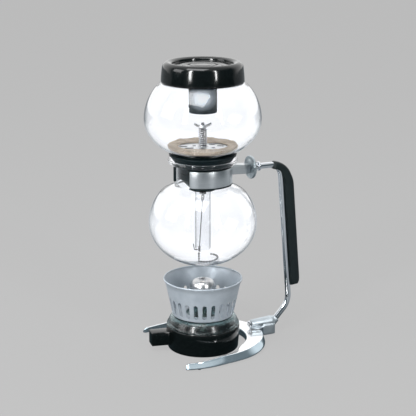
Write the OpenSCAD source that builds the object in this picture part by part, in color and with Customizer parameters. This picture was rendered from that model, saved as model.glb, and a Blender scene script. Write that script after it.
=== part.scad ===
// Siphon coffee maker: upper chamber with lid and filter, lower bowl held on a
// chrome stand, and a spirit burner with its windscreen.
// +Z is up, the table is z = 0, the bowls share the z axis, the handle points along +X.

/* [Bowls] */
// Widest radius of the upper bowl
upper_bowl_r = 66.4; // [64:0.2:67]
// Height of the upper bowl's widest circle
upper_bowl_z = 272.3; // [271:0.1:274]
// Widest radius of the lower bowl
lower_bowl_r = 62.5; // [60:0.5:63]
// Height of the lower bowl's widest circle
lower_bowl_z = 151.6; // [150:0.2:153]
// Thickness of the blown glass
glass_wall = 1.6; // [1.4:0.1:1.8]
// Outer radius of the glass stem
stem_r = 9; // [8.6:0.1:9.4]
// Height of the stem's lower end
stem_foot_z = 119.2; // [118:0.2:124]

/* [Lid] */
// Height of the lid's top
lid_top_z = 336.8; // [334.5:0.1:337.5]
// Outer radius of the lid's skirt
lid_skirt_r = 46.9; // [46.9:0.1:48.5]
// Outer radius of the lid's stem socket
lid_tube_r = 16.1; // [15:0.1:17]

/* [Stand] */
// Radius of the chrome rod
rod_r = 3.5; // [3.2:0.1:3.7]
// Height of the rod's upper run
rod_top_z = 210; // [209:0.5:211]
// Thickness of the chrome base
base_t = 9; // [8:0.5:10]
// Inner radius of the base at the handle side
base_inner_r = 51.5; // [50:0.5:53]
// Depth of the grip behind the rod
grip_depth = 11; // [9:0.5:13]
// Width of the grip
grip_w = 12; // [10:0.5:15]

/* [Burner] */
// Outer radius of the burner's base
burner_r = 43; // [42:0.2:44]
// Height of the burner's base
burner_h = 27.7; // [26:0.1:29]
// Radius of the windscreen's rim
screen_rim_r = 46.2; // [45:0.2:48]
// Height of the windscreen's rim
screen_rim_z = 84.3; // [82:0.1:86]
// Number of air slots around the windscreen
screen_slots = 24; // [16:1:26]

/* [Hidden] */
$fn = 64;

// Bowl profiles: the half heights above and below the widest circle
upper_bowl_rise = 59.4;
upper_bowl_drop = 45.7;
lower_bowl_rise = 56.7;
lower_bowl_drop = 50.4;
upper_shoulder_z = 309.5;
mouth_r = 45;
mouth_z = 316;
lower_shoulder_z = 187;
neck_r = 30.6;
neck_foot_z = 198;
neck_top_z = 217.6;
lip_r = 39.2;
lip_top_z = 226.5;

// Neck clamp
jaw_r = 33.8;
jaw_t = 1.4;
jaw_foot_z = 198.4;
jaw_top_z = 217.6;
jaw_end_angle = 141;
arm_w = 5;
arm_end_x = 58.6;
arm_foot_z = 205;
arm_top_z = 215.6;
screw_x = 46.5;
screw_reach = 3.8;
rod_start_x = 50;
knob_x = 59.2;
knob_t = 3.4;
knob_r = 13.5;
running_gap = 0.05;

// Rod centre line: level run, upper bend, leaning run, lower bend, short run into the lug
top_bend_r = 14;
lean = 4.87;
top_bend_x = 86.8;
top_bend_z = rod_top_z - top_bend_r;
foot_bend_r = 26;
foot_bend_x = 87.5;
foot_bend_z = 46.8;
foot_bend_end = -43;
top_end = [top_bend_x + top_bend_r * cos(lean), top_bend_z + top_bend_r * sin(lean)];
foot_start = [foot_bend_x + foot_bend_r * cos(lean), foot_bend_z + foot_bend_r * sin(lean)];
foot_end = [
    foot_bend_x + foot_bend_r * cos(foot_bend_end),
    foot_bend_z + foot_bend_r * sin(foot_bend_end)
];
tail_length = 22;

// Turn of the windscreen's first air slot
first_slot = -111.95;

// Socket at the foot of the rod, its screws, and the pads under the base
lug_start_x = 62;
lug_ball_x = 90;
lug_z = 15.7;
lug_r = 6.8;
lug_block_w = 13;
base_screw_x = 70;
pad_angles = [-118, -24, 24, 118];
pad_r = 2.4;

// Lid: floor of the sunk top and the underside below it
lid_floor_z = lid_top_z - 4.2;
lid_under_z = lid_floor_z - 2.4;
lid_collar_z = lid_under_z - 20.6;

// Filter heights
cloth_foot_z = 236.8;
plate_foot_z = cloth_foot_z + 1.2;
plate_t = 1.2;
plate_top_z = plate_foot_z + plate_t;
post_top_z = 267.4;
washer_t = 1.6;
wing_foot_z = 261.8;

// Ball chain: it hangs from the wire's foot and ends in a round curl on the lower bowl's floor
bead_r = 1.15;
bead_pitch = 3.1;
hang_beads = 3;
curl_beads = 14;
curl_r = 12.8;
curl_x = 4.4;
curl_y = 4.5;
curl_start = -135;
curl_sweep = 200;
// Turn of the wire's foot, the rim hook and the chain about the bowls' axis
hook_turn = -25;

// Points along a round arc in a profile
function arc(cx, cy, r, a0, a1, n) = [
    for (i = [0 : n]) let (a = a0 + (a1 - a0) * i / n) [cx + r * cos(a), cy + r * sin(a)]
];

// Points along a cubic curve with four control points
function curve(p0, p1, p2, p3, n) = [
    for (i = [0 : n]) let (t = i / n, s = 1 - t)
        s * s * s * p0 + 3 * s * s * t * p1 + 3 * s * t * t * p2 + t * t * t * p3
];

// Points in the opposite order
function backwards(points) = [for (i = [len(points) - 1 : -1 : 0]) points[i]];

// Radius of an egg-shaped bowl at a height
function bowl_radius(z, r, mid_z, rise, drop) =
    r * sqrt(max(0, 1 - pow((z - mid_z) / (z > mid_z ? rise : drop), 2)));

// Profile points of an egg-shaped bowl between two heights
function bowl_side(z0, z1, r, mid_z, rise, drop, n) = [
    for (i = [0 : n]) let (z = z0 + (z1 - z0) * i / n) [bowl_radius(z, r, mid_z, rise, drop), z]
];

// Profile points of a bowl's rounded underside, from the axis outwards
function bowl_floor(r, mid_z, drop, a0, a1, n) = [
    for (i = [0 : n]) let (a = a0 + (a1 - a0) * i / n) [r * cos(a), mid_z + drop * sin(a)]
];

// Upper bowl's outline, moved inwards by the glass thickness when inset is set
function upper_outline(inset) = let (
    r = upper_bowl_r - inset,
    drop = upper_bowl_drop - inset,
    shoulder_r = bowl_radius(upper_shoulder_z, r, upper_bowl_z, upper_bowl_rise - inset, drop)
) concat(
    curve([stem_r - inset, 222 + inset], [stem_r - inset, 226 + inset],
        [stem_r + 1, 227.4 + inset],
        [r * cos(-77), upper_bowl_z + drop * sin(-77)], 5),
    bowl_floor(r, upper_bowl_z, drop, -73, 0, 18),
    bowl_side(upper_bowl_z + 3, upper_shoulder_z, r, upper_bowl_z, upper_bowl_rise - inset, drop, 10),
    curve([shoulder_r, upper_shoulder_z], [shoulder_r - 3.2, upper_shoulder_z + 3.5],
        [mouth_r - inset, mouth_z - 3.4], [mouth_r - inset, mouth_z], 6)
);

// Lower bowl's outline from the bottom to the lip
function lower_outline(inset) = let (
    r = lower_bowl_r - inset,
    rise = lower_bowl_rise - inset,
    drop = lower_bowl_drop - inset,
    shoulder_r = bowl_radius(lower_shoulder_z, r, lower_bowl_z, rise, drop)
) concat(
    [[0, lower_bowl_z - drop]],
    bowl_floor(r, lower_bowl_z, drop, -84, 0, 18),
    bowl_side(lower_bowl_z + 3, lower_shoulder_z, r, lower_bowl_z, rise, drop, 8),
    curve([shoulder_r, lower_shoulder_z], [shoulder_r - 5.5, lower_shoulder_z + 6.2],
        [neck_r - inset, neck_foot_z - 4.5], [neck_r - inset, neck_foot_z], 6),
    curve([neck_r - inset, neck_top_z], [neck_r - inset, neck_top_z + 2.6],
        [lip_r - inset - 2, neck_top_z + 2], [lip_r - inset, lip_top_z - 4.2], 6),
    [[lip_r - inset, lip_top_z]]
);

// A straight round bar between two points of the handle's plane, let into the bends at its ends
module bar(from, to, r, from_let, to_let) {
    step = to - from;
    translate([from[0], 0, from[1]])
        rotate([0, atan2(step[0], step[1]), 0])
            translate([0, 0, -from_let])
                cylinder(r = r, h = norm(step) + from_let + to_let);
}

// A round bend lying in the handle's plane
module bend(cx, cz, bend_r, r, a0, a1) {
    translate([cx, 0, cz])
        rotate([90, 0, 0])
            rotate([0, 0, a0])
                rotate_extrude(angle = a1 - a0)
                    translate([bend_r, 0])
                        circle(r = r, $fn = 32);
}

// The whole rod, fattened by grow
module rod_shape(grow) {
    r = rod_r + grow;
    bend_swell = 0.03;
    let_in = 0.5;
    heading = [sin(foot_bend_end), -cos(foot_bend_end)];
    bar([rod_start_x, rod_top_z], [top_bend_x, rod_top_z], r, 0, let_in);
    bend(top_bend_x, top_bend_z, top_bend_r, r + bend_swell, lean, 90);
    bar(top_end, foot_start, r, let_in, let_in);
    bend(foot_bend_x, foot_bend_z, foot_bend_r, r + bend_swell, foot_bend_end, lean);
    bar(foot_end, foot_end + tail_length * heading, r, let_in, 0);
}

// A flat washer or tube
module ring(inner, outer, z, h) {
    translate([0, 0, z])
        difference() {
            cylinder(r = outer, h = h);
            translate([0, 0, -1])
                cylinder(r = inner, h = h + 2);
        }
}

// Outline of a long hole with round ends
module slot_outline(width, foot, top) {
    half = width / 2;
    polygon(concat(
        arc(0, top - half, half, 0, 180, 6),
        arc(0, foot + half, half, 180, 360, 6)
    ));
}

// Smooth step from 0 to 1
function ease(t) = let (c = min(1, max(0, t))) c * c * (3 - 2 * c);

// Inner and outer edge of the horseshoe at an angle from the handle
function tip_flare(a) = pow(max(0, abs(a) - 88) / 40, 1.3);
function base_inner(a) = base_inner_r + 8.5 * ease((abs(a) - 54) / 32) + 17 * tip_flare(a);
function base_outer(a) = 67.8 + 7.2 * max(0, 1 - pow(abs(a) / 75, 1.5)) + 15.5 * tip_flare(a);

// Chromed horseshoe foot, open on the side away from the handle
module stand_base() {
    tip = 126;
    tip_mid = (base_inner(tip) + base_outer(tip)) / 2;
    tip_r = (base_outer(tip) - base_inner(tip)) / 2;
    outer = [for (a = [-tip : 6 : tip]) base_outer(a) * [cos(a), sin(a)]];
    inner = [for (a = [tip : -6 : -tip]) base_inner(a) * [cos(a), sin(a)]];
    tip_centre = tip_mid * [cos(tip), sin(tip)];
    far_tip = [for (t = [20 : 20 : 160]) tip_centre + tip_r * [cos(tip + t), sin(tip + t)]];
    near_tip = [for (p = backwards(far_tip)) [p[0], -p[1]]];
    color([0.82, 0.84, 0.87])
        translate([0, 0, 1])
            difference() {
                linear_extrude(base_t)
                    polygon(concat(outer, far_tip, inner, near_tip));
                for (a = pad_angles)
                    rotate([0, 0, a])
                        translate([(base_inner(a) + base_outer(a)) / 2, 0, -1])
                            cylinder(r = pad_r + 0.05, h = 2);
                translate([base_screw_x, 0, -1])
                    cylinder(r = 2.05, h = base_t + 2);
                translate([base_screw_x, 0, -1])
                    cylinder(r = 3.8, h = 3);
            }
}

// Screw from below that holds the socket on the base
module base_screw() {
    color([0.6, 0.61, 0.63])
        translate([base_screw_x, 0, 0])
            difference() {
                union() {
                    translate([0, 0, 1.2])
                        cylinder(r = 3.7, h = 1.8);
                    translate([0, 0, 2])
                        cylinder(r = 2, h = base_t + 2.4);
                }
                translate([-0.5, -2.6, 0])
                    cube([1, 5.2, 2]);
                translate([-2.6, -0.5, 0])
                    cube([5.2, 1, 2]);
            }
}

// Soft pads let into the underside of the base
module base_pads() {
    color([0.06, 0.06, 0.06])
        for (a = pad_angles)
            rotate([0, 0, a])
                translate([(base_inner(a) + base_outer(a)) / 2, 0, 0])
                    cylinder(r = pad_r, h = 2);
}

// Cast socket that joins the rod to the base: a barrel on a block
module stand_lug() {
    color([0.55, 0.56, 0.58])
        difference() {
            union() {
                translate([lug_start_x, 0, lug_z])
                    rotate([0, 90, 0])
                        cylinder(r1 = lug_r - 1.6, r2 = lug_r - 0.05, h = lug_ball_x - lug_start_x);
                translate([lug_ball_x, 0, lug_z])
                    sphere(r = lug_r);
                translate([65, -lug_block_w / 2, base_t + 1.02])
                    cube([29, lug_block_w, lug_z - base_t - 1.02]);
                translate([75.4, -lug_block_w / 2, 2.2])
                    cube([18.6, lug_block_w, lug_z - 2.2]);
            }
            rod_shape(0.02);
            translate([lug_start_x - 1, 0, lug_z])
                rotate([0, 90, 0])
                    cylinder(r = 2.02, h = 12);
            translate([base_screw_x, 0, base_t])
                cylinder(r = 2.02, h = 4.6);
            translate([lug_start_x - 1, -10, 0])
                cube([75.3 - lug_start_x + 1, 20, base_t + 1.02]);
        }
}

// Cross-recessed screw in the barrel's inner end
module lug_screw() {
    color([0.82, 0.84, 0.87])
        translate([lug_start_x, 0, lug_z])
            rotate([0, 90, 0])
                difference() {
                    union() {
                        translate([0, 0, -2])
                            cylinder(r1 = 3.2, r2 = 4.2, h = 1.98);
                        translate([0, 0, -1])
                            cylinder(r = 2, h = 11);
                    }
                    translate([-2.8, -0.5, -3])
                        cube([5.6, 1, 2.2]);
                    translate([-0.5, -2.8, -3])
                        cube([1, 5.6, 2.2]);
                }
}

// Bent chrome rod that is both column and handle
module stand_rod() {
    color([0.85, 0.87, 0.9])
        rod_shape(0);
}

// Stop ring on the rod behind the knob
module rod_collar() {
    color([0.85, 0.87, 0.9])
        translate([70, 0, rod_top_z])
            rotate([0, 90, 0])
                difference() {
                    cylinder(r = 5.4, h = 2.6);
                    translate([0, 0, -1])
                        cylinder(r = rod_r + 0.01, h = 5);
                }
}

// Black grip: a sleeve round the rod where it starts, then a deep rib on the rod's outer side
module grip() {
    centre = [top_bend_x, top_bend_z];
    start = 76;
    turns = [for (i = [0 : 12]) start + (lean - start) * i / 12];
    full = rod_r + 0.6 + grip_depth;
    bend_share = pow((90 - lean) / 105, 1.6);
    back = [for (a = turns)
        centre + (top_bend_r + rod_r + 0.6 + grip_depth * pow((90 - a) / 105, 1.6)) * [cos(a), sin(a)]];
    front = [for (a = turns)
        centre + (top_bend_r - 4.1 + 4.1 * ease((start - a) / (start - lean))) * [cos(a), sin(a)]];
    down = [sin(lean), -cos(lean)];
    out = [cos(lean), sin(lean)];
    length = norm(foot_start - top_end) - 8;
    swell = [for (d = [3.5 : 3.5 : 14])
        top_end + d * down + (full - grip_depth * (1 - bend_share) * pow(1 - d / 14, 2)) * out];
    outline = concat(
        back,
        swell,
        [top_end + (length - 4) * down + full * out],
        [top_end + length * down + (full - 3) * out],
        [top_end + length * down + 2.6 * out],
        [top_end + 5 * down + 2.6 * out],
        backwards(front)
    );
    color([0.05, 0.05, 0.06])
        difference() {
            translate([0, grip_w / 2, 0])
                rotate([90, 0, 0])
                    linear_extrude(grip_w)
                        polygon(outline);
            rod_shape(0.01);
        }
}

// One half of the neck clamp: a curved jaw and its straight arm, drilled to a depth for the screw
module neck_jaw(hole_depth) {
    difference() {
        union() {
            rotate([0, 0, 6])
                rotate_extrude(angle = jaw_end_angle - 6, $fn = 96)
                    translate([jaw_r - jaw_t, jaw_foot_z])
                        square([jaw_t, jaw_top_z - jaw_foot_z]);
            translate([jaw_r - 1, 0.1, arm_foot_z])
                cube([arm_end_x - jaw_r + 1, arm_w - 0.1, arm_top_z - arm_foot_z]);
        }
        translate([0, 0, arm_foot_z - 1])
            cylinder(r = jaw_r - jaw_t, h = arm_top_z - arm_foot_z + 2, $fn = 96);
        translate([screw_x, -1, rod_top_z])
            rotate([-90, 0, 0])
                cylinder(r = 2.02, h = hole_depth + 1);
        translate([rod_start_x, 0, rod_top_z])
            rotate([0, 90, 0])
                cylinder(r = rod_r + 0.01, h = arm_end_x);
    }
}

// Jaw on the rear side of the neck, drilled right through
module neck_jaw_rear() {
    color([0.72, 0.74, 0.76])
        neck_jaw(arm_w + 1);
}

// Jaw on the front side of the neck, with a blind hole
module neck_jaw_front() {
    color([0.72, 0.74, 0.76])
        mirror([0, 1, 0])
            neck_jaw(screw_reach + 0.2);
}

// Rubber strip between the glass neck and the jaws, open like the jaws
module neck_liner() {
    color([0.05, 0.05, 0.05])
        union() {
            rotate([0, 0, -jaw_end_angle - 1])
                rotate_extrude(angle = 2 * jaw_end_angle + 1.6, $fn = 96)
                    polygon([
                        [neck_r + 0.05, neck_foot_z + 0.3],
                        [jaw_r + 0.1, neck_foot_z - 1.2],
                        [jaw_r + 0.1, jaw_foot_z - 0.05],
                        [jaw_r - jaw_t - 0.02, jaw_foot_z - 0.05],
                        [jaw_r - jaw_t - 0.02, jaw_top_z + 0.05],
                        [jaw_r + 0.1, jaw_top_z + 0.05],
                        [jaw_r + 0.1, jaw_top_z + 0.9],
                        [neck_r + 0.9, jaw_top_z + 0.9],
                        [neck_r + 0.05, jaw_top_z - 0.2]
                    ]);
            rotate([0, 0, jaw_end_angle + 0.2])
                rotate_extrude(angle = 4, $fn = 96)
                    translate([neck_r + 0.1, jaw_foot_z - 0.4])
                        square([jaw_r + 0.6 - neck_r, jaw_top_z - jaw_foot_z + 0.8]);
        }
}

// Cross screw: its head lies on the rear arm and its end is hidden in the front arm
module clamp_screw() {
    color([0.85, 0.87, 0.9])
        translate([screw_x, 0, rod_top_z])
            rotate([-90, 0, 0])
                difference() {
                    union() {
                        translate([0, 0, -screw_reach])
                            cylinder(r = 2, h = screw_reach + arm_w + 1);
                        translate([0, 0, arm_w + 0.02])
                            cylinder(r = 3.8, h = 2);
                    }
                    translate([-2.6, -0.5, arm_w + 1.2])
                        cube([5.2, 1, 2]);
                    translate([-0.5, -2.6, arm_w + 1.2])
                        cube([1, 5.2, 2]);
                }
}

// Round nut that draws the rod into the clamp
module clamp_knob() {
    color([0.85, 0.87, 0.9])
        translate([knob_x, 0, rod_top_z])
            rotate([0, 90, 0])
                rotate_extrude($fn = 96)
                    polygon(concat(
                        [[rod_r + running_gap, 0]],
                        arc(knob_r - 1, 1, 1, -90, 0, 4),
                        arc(knob_r - 1, knob_t - 1, 1, 0, 90, 4),
                        [[6, knob_t], [5.2, knob_t + 4], [rod_r + running_gap, knob_t + 4]]
                    ));
}

// Blown glass bowl that boils the water
module lower_bowl() {
    color([0.85, 0.93, 0.95, 0.4])
        rotate_extrude($fn = 96)
            polygon(concat(
                lower_outline(0),
                backwards(lower_outline(glass_wall))
            ));
}

// Blown glass brewing chamber with its long stem
module upper_bowl() {
    outside = concat([[stem_r, stem_foot_z]], upper_outline(0));
    inside = concat([[stem_r - glass_wall, stem_foot_z]], upper_outline(glass_wall));
    color([0.85, 0.93, 0.95, 0.4])
        rotate_extrude($fn = 96)
            polygon(concat(outside, backwards(inside)));
}

// Rubber bung that seals the upper bowl into the lower one
module rubber_gasket() {
    seat = [for (a = [-73 : 3 : -58])
        [(upper_bowl_r + 0.05) * cos(a), upper_bowl_z + (upper_bowl_drop + 0.05) * sin(a)]];
    color([0.06, 0.06, 0.07])
        rotate_extrude($fn = 96)
            polygon(concat(
                [[stem_r + 0.03, 190.5], [13, 190.5], [27.4, 205], [28.5, 207], [28.6, 217.4]],
                [[34.8, lip_top_z - 0.4]],
                [[35.4, lip_top_z + 0.4], [38.4, 230.8], [38.6, 231.7], [38.0, 232.4]],
                backwards(seat),
                [[13, 226.3], [stem_r + 0.9, 224.6], [stem_r + 0.03, 221.5]]
            ));
}

// Slotted disc that carries the cloth, with a group of slots on either side of the post
module filter_plate() {
    color([0.75, 0.76, 0.78])
        translate([0, 0, plate_foot_z])
            difference() {
                cylinder(r = 35, h = plate_t);
                for (side = [0, 180], a = [-40, 0, 40])
                    rotate([0, 0, side + a + hook_turn])
                        translate([20, 0, -1])
                            linear_extrude(plate_t + 2)
                                rotate([0, 0, 90])
                                    slot_outline(3, -6.5, 6.5);
                translate([0, 0, -1])
                    cylinder(r = 2.1, h = plate_t + 2);
            }
}

// Cloth drawn round the plate's edge, open in the middle of the top
module filter_cloth() {
    cloth_r = 40.2;
    hem_r = 25;
    top = cloth_foot_z + 4.6;
    color([0.85, 0.74, 0.58])
        rotate_extrude($fn = 96)
            polygon([
                [2.2, cloth_foot_z], [35, cloth_foot_z], [38.8, cloth_foot_z + 1.2],
                [cloth_r - 0.3, top - 1.9], [cloth_r, top - 0.9], [cloth_r - 0.8, top],
                [hem_r + 1, top - 0.6], [hem_r, top - 1.1], [hem_r, plate_top_z + 0.02],
                [35.05, plate_top_z + 0.02], [35.05, plate_foot_z - 0.02], [2.2, plate_foot_z - 0.02]
            ]);
}

// Threaded post in the middle of the filter
module filter_post() {
    color([0.75, 0.76, 0.78])
        union() {
            translate([0, 0, 230.4])
                cylinder(r = 2, h = post_top_z - 230.4);
            translate([0, 0, 232.4])
                cylinder(r = 4.6, h = cloth_foot_z - 232.4);
        }
}

// Compression spring round the post, drawn as its envelope
module filter_spring() {
    foot = plate_top_z + washer_t;
    color([0.7, 0.71, 0.73])
        ring(3.9, 4.9, foot, wing_foot_z - 0.4 - foot);
}

// Shouldered washer under the spring
module filter_washer() {
    color([0.75, 0.76, 0.78])
        ring(2.05, 6.2, plate_top_z, washer_t);
}

// Wing nut that tightens the filter
module wing_nut() {
    color([0.75, 0.76, 0.78])
        difference() {
            union() {
                translate([0, 0, wing_foot_z])
                    cylinder(r1 = 4.4, r2 = 3.4, h = 3.6);
                for (side = [0, 180])
                    rotate([0, 0, side])
                        translate([0, 0.8, 0])
                            rotate([90, 0, 0])
                                linear_extrude(1.6)
                                    polygon([
                                        [2.6, wing_foot_z + 0.4], [4, wing_foot_z + 0.6],
                                        [9.4, wing_foot_z + 2.6], [10.2, wing_foot_z + 5],
                                        [8.6, wing_foot_z + 5.8], [5, wing_foot_z + 4],
                                        [2.6, wing_foot_z + 3.4]
                                    ]);
            }
            translate([0, 0, wing_foot_z - 1])
                cylinder(r = 2 + running_gap, h = 9);
        }
}

// Pull spring inside the stem, drawn as its envelope
module stem_spring() {
    color([0.7, 0.71, 0.73])
        ring(2.8, 4, 184, 46.4);
}

// Ring that joins the spring to the pull wire
module pull_ring() {
    color([0.75, 0.76, 0.78])
        translate([0, 0, 180.4])
            rotate([90, 0, 0])
                rotate_extrude($fn = 32)
                    translate([2.6, 0])
                        circle(r = 0.6, $fn = 16);
}

// Straight wire down the stem
module pull_wire() {
    color([0.75, 0.76, 0.78])
        union() {
            translate([0, 0, 118])
                cylinder(r = 0.6, h = 59.1);
            rotate([0, 0, hook_turn])
                translate([0, 0, 117.5])
                    rotate([0, -90, 0])
                        cylinder(r = 0.6, h = 4.8);
        }
}

// Wire clip that catches on the stem's lower edge
module rim_hook() {
    reach = stem_r + 1.2;
    color([0.75, 0.76, 0.78])
        rotate([0, 0, 180 + hook_turn])
            union() {
                translate([4.8, 0, 117.5])
                    rotate([0, 90, 0])
                        cylinder(r = 0.7, h = reach - 4.8);
                translate([reach, 0, 116.8])
                    cylinder(r = 0.7, h = 8);
            }
}

// Height of the lower bowl's inner floor at a distance from the axis
function floor_z(d) =
    lower_bowl_z - (lower_bowl_drop - glass_wall) * sqrt(1 - pow(d / (lower_bowl_r - glass_wall), 2));

// Centre of a bead that lies in the curl
function curl_bead(i) = let (
    a = curl_start + curl_sweep * i / (curl_beads - 1),
    x = curl_x + curl_r * cos(a),
    y = curl_y + curl_r * sin(a)
) [x, y, floor_z(norm([x, y])) + bead_r + 0.3];

// Ball chain that is pulled to set the filter
module bead_chain() {
    color([0.75, 0.76, 0.78])
        rotate([0, 0, hook_turn]) {
            for (i = [0 : curl_beads - 1])
                translate(curl_bead(i))
                    sphere(r = bead_r, $fn = 24);
            for (i = [1 : hang_beads])
                translate(curl_bead(0) + [0, 0, bead_pitch * i])
                    sphere(r = bead_r, $fn = 24);
        }
}

// Black cap with a sunk top; turned over, it is also the upper bowl's stand
module lid_cap() {
    outside = concat(
        [[lid_skirt_r, 314.2], [lid_skirt_r, 316]],
        [[lid_skirt_r - 1.2, lid_top_z - 8]],
        arc(lid_skirt_r - 6.2, lid_top_z - 5, 5, 14, 90, 6),
        [[38.4, lid_top_z - 0.25], [36.2, lid_top_z - 0.9], [35, lid_top_z - 1.5]],
        [[34.4, lid_top_z - 2.4], [34.3, lid_floor_z], [0, lid_floor_z]]
    );
    inside = [
        [0, lid_under_z], [38.5, lid_under_z], [40.8, lid_under_z - 2.6], [40.8, 312.6],
        [42.8, 312.6], [42.8, 318], [lid_skirt_r - 0.9, 317.4], [lid_skirt_r - 0.9, 314.2]
    ];
    color([0.04, 0.04, 0.05])
        rotate_extrude($fn = 96)
            polygon(concat(outside, inside));
}

// Black collar under the cap that holds the stem socket
module lid_collar() {
    color([0.04, 0.04, 0.05])
        ring(lid_tube_r + 0.03, lid_tube_r + 1.8, lid_collar_z, lid_under_z - lid_collar_z);
}

// Socket under the cap that takes the stem when the upper bowl stands in the lid
module lid_tube() {
    color([0.2, 0.21, 0.22])
        ring(lid_tube_r - 1.6, lid_tube_r, 279.7, lid_under_z - 279.7);
}

// Black base of the burner with its block handle
module burner_base() {
    color([0.04, 0.04, 0.05])
        difference() {
            union() {
                rotate_extrude($fn = 96)
                    polygon(concat(
                        [[0, 0]],
                        arc(burner_r - 2.6, 1.4, 1.4, -90, 0, 4),
                        arc(burner_r - 1.2, burner_h - 1.2, 1.2, 0, 90, 4),
                        [[0, burner_h]]
                    ));
                rotate([0, 0, 171.5])
                    translate([burner_r - 4, -8, 6.6])
                        cube([24, 16, 14.6]);
            }
            translate([0, 0, 3])
                cylinder(r = burner_r - 2.6, h = burner_h, $fn = 96);
        }
}

// Glass spirit bottle
module fuel_bottle() {
    body_r = burner_r - 2.7;
    shoulder_z = burner_h + 0.1;
    outside = concat(
        [[0, 3.1], [body_r - 2, 3.1], [body_r, 5], [body_r, shoulder_z]],
        [[burner_r - 0.4, shoulder_z], [burner_r - 0.4, shoulder_z + 0.8]],
        arc(36.4 - 2, 39.6 - 2, 2, 30, 90, 4),
        [[19, 40.2], [15, 43], [14.2, 46], [14.2, 68]]
    );
    inside = [
        [12.2, 68], [12.2, 46], [13.4, 41.6], [18, 38.2], [33.6, 37.6], [38.4, 29.6],
        [38.2, 27], [38.2, 6.4], [36.8, 5.1], [0, 5.1]
    ];
    color([0.5, 0.62, 0.56, 0.45])
        rotate_extrude($fn = 96)
            polygon(concat(outside, inside));
}

// Soft seal between the bottle's mouth and the wick holder
module bottle_seal() {
    color([0.1, 0.1, 0.1])
        ring(6.2, 13.8, 68, 1.2);
}

// Metal wick holder with a shallow dish on top
module wick_holder() {
    color([0.75, 0.76, 0.78])
        rotate_extrude($fn = 64)
            polygon([
                [3.1, 52], [4.6, 52], [4.6, 69.2], [14.4, 69.2], [14.4, 79], [14, 81],
                [13.2, 81], [9, 78.4], [5, 77.6], [3.1, 77.4]
            ]);
}

// Woven wick
module wick() {
    color([0.9, 0.88, 0.82])
        translate([0, 0, 12])
            cylinder(r = 3.05, h = 66.4);
}

// Painted cup round the flame, with a ring of air slots
module windscreen() {
    foot_z = 40.4;
    foot_r = 36;
    rim_bead = 1.1;
    color([0.72, 0.76, 0.79])
        difference() {
            rotate_extrude($fn = 96)
                polygon(concat(
                    [[20, foot_z], [foot_r, foot_z]],
                    [[screen_rim_r - rim_bead, screen_rim_z - 2 * rim_bead]],
                    arc(screen_rim_r - rim_bead, screen_rim_z - rim_bead, rim_bead, -90, 150, 6),
                    [[screen_rim_r - 2 * rim_bead, screen_rim_z - 3 * rim_bead]],
                    [[foot_r - 1.2, foot_z + 1.2], [20, foot_z + 1.2]]
                ));
            for (i = [0 : screen_slots - 1])
                rotate([0, 0, first_slot + i * 360 / screen_slots])
                    translate([30, 0, 0])
                        rotate([90, 0, 90])
                            linear_extrude(20)
                                slot_outline(5, 44.8, 61.5);
        }
}

stand_base();
base_pads();
base_screw();
stand_lug();
lug_screw();
stand_rod();
rod_collar();
grip();
neck_jaw_front();
neck_jaw_rear();
neck_liner();
clamp_screw();
lower_bowl();
clamp_knob();
upper_bowl();
rubber_gasket();
filter_plate();
filter_cloth();
filter_post();
filter_spring();
filter_washer();
wing_nut();
stem_spring();
pull_ring();
pull_wire();
rim_hook();
bead_chain();
lid_cap();
lid_collar();
lid_tube();
burner_base();
fuel_bottle();
bottle_seal();
wick_holder();
wick();
windscreen();
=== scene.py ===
import math

import bmesh
import bpy
from mathutils import Euler, Matrix, Vector


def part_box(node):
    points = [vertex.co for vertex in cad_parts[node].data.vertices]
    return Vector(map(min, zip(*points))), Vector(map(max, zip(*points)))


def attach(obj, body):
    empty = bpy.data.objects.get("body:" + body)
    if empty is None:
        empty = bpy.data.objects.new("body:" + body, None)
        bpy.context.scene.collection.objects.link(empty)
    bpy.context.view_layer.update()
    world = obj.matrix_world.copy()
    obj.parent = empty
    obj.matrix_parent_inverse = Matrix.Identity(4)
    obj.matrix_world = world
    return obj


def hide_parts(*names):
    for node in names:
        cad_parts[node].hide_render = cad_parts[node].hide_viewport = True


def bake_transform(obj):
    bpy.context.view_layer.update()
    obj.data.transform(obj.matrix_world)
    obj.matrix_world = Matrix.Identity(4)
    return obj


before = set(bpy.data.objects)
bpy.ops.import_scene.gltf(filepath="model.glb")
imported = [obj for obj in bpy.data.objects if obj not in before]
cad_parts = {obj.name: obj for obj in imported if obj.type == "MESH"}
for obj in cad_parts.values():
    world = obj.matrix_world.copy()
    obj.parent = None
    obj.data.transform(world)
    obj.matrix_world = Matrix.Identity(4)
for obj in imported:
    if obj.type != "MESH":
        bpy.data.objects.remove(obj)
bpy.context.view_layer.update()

MM = 0.001
TURN = 2 * math.pi


# ---------------------------------------------------------------- shape helpers

def rad(degrees):
    return degrees * math.pi / 180


def ease(t):
    """Smooth step from 0 to 1."""
    t = min(1.0, max(0.0, t))
    return t * t * (3 - 2 * t)


def arc(cx, cy, r, a0, a1, n):
    """Points along a round arc in a profile, angles in degrees."""
    return [(cx + r * math.cos(rad(a0 + (a1 - a0) * i / n)),
             cy + r * math.sin(rad(a0 + (a1 - a0) * i / n))) for i in range(n + 1)]


def curve(p0, p1, p2, p3, n):
    """Points along a cubic curve in a profile."""
    points = []
    for i in range(n + 1):
        t = i / n
        s = 1 - t
        points.append(tuple(s ** 3 * a + 3 * s * s * t * b + 3 * s * t * t * c + t ** 3 * d
                            for a, b, c, d in zip(p0, p1, p2, p3)))
    return points


def shade(bm, smooth_angle):
    """Smooth shading everywhere but at edges sharper than an angle."""
    for face in bm.faces:
        face.smooth = True
    for edge in bm.edges:
        edge.smooth = edge.calc_face_angle(0) < rad(smooth_angle)


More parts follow.
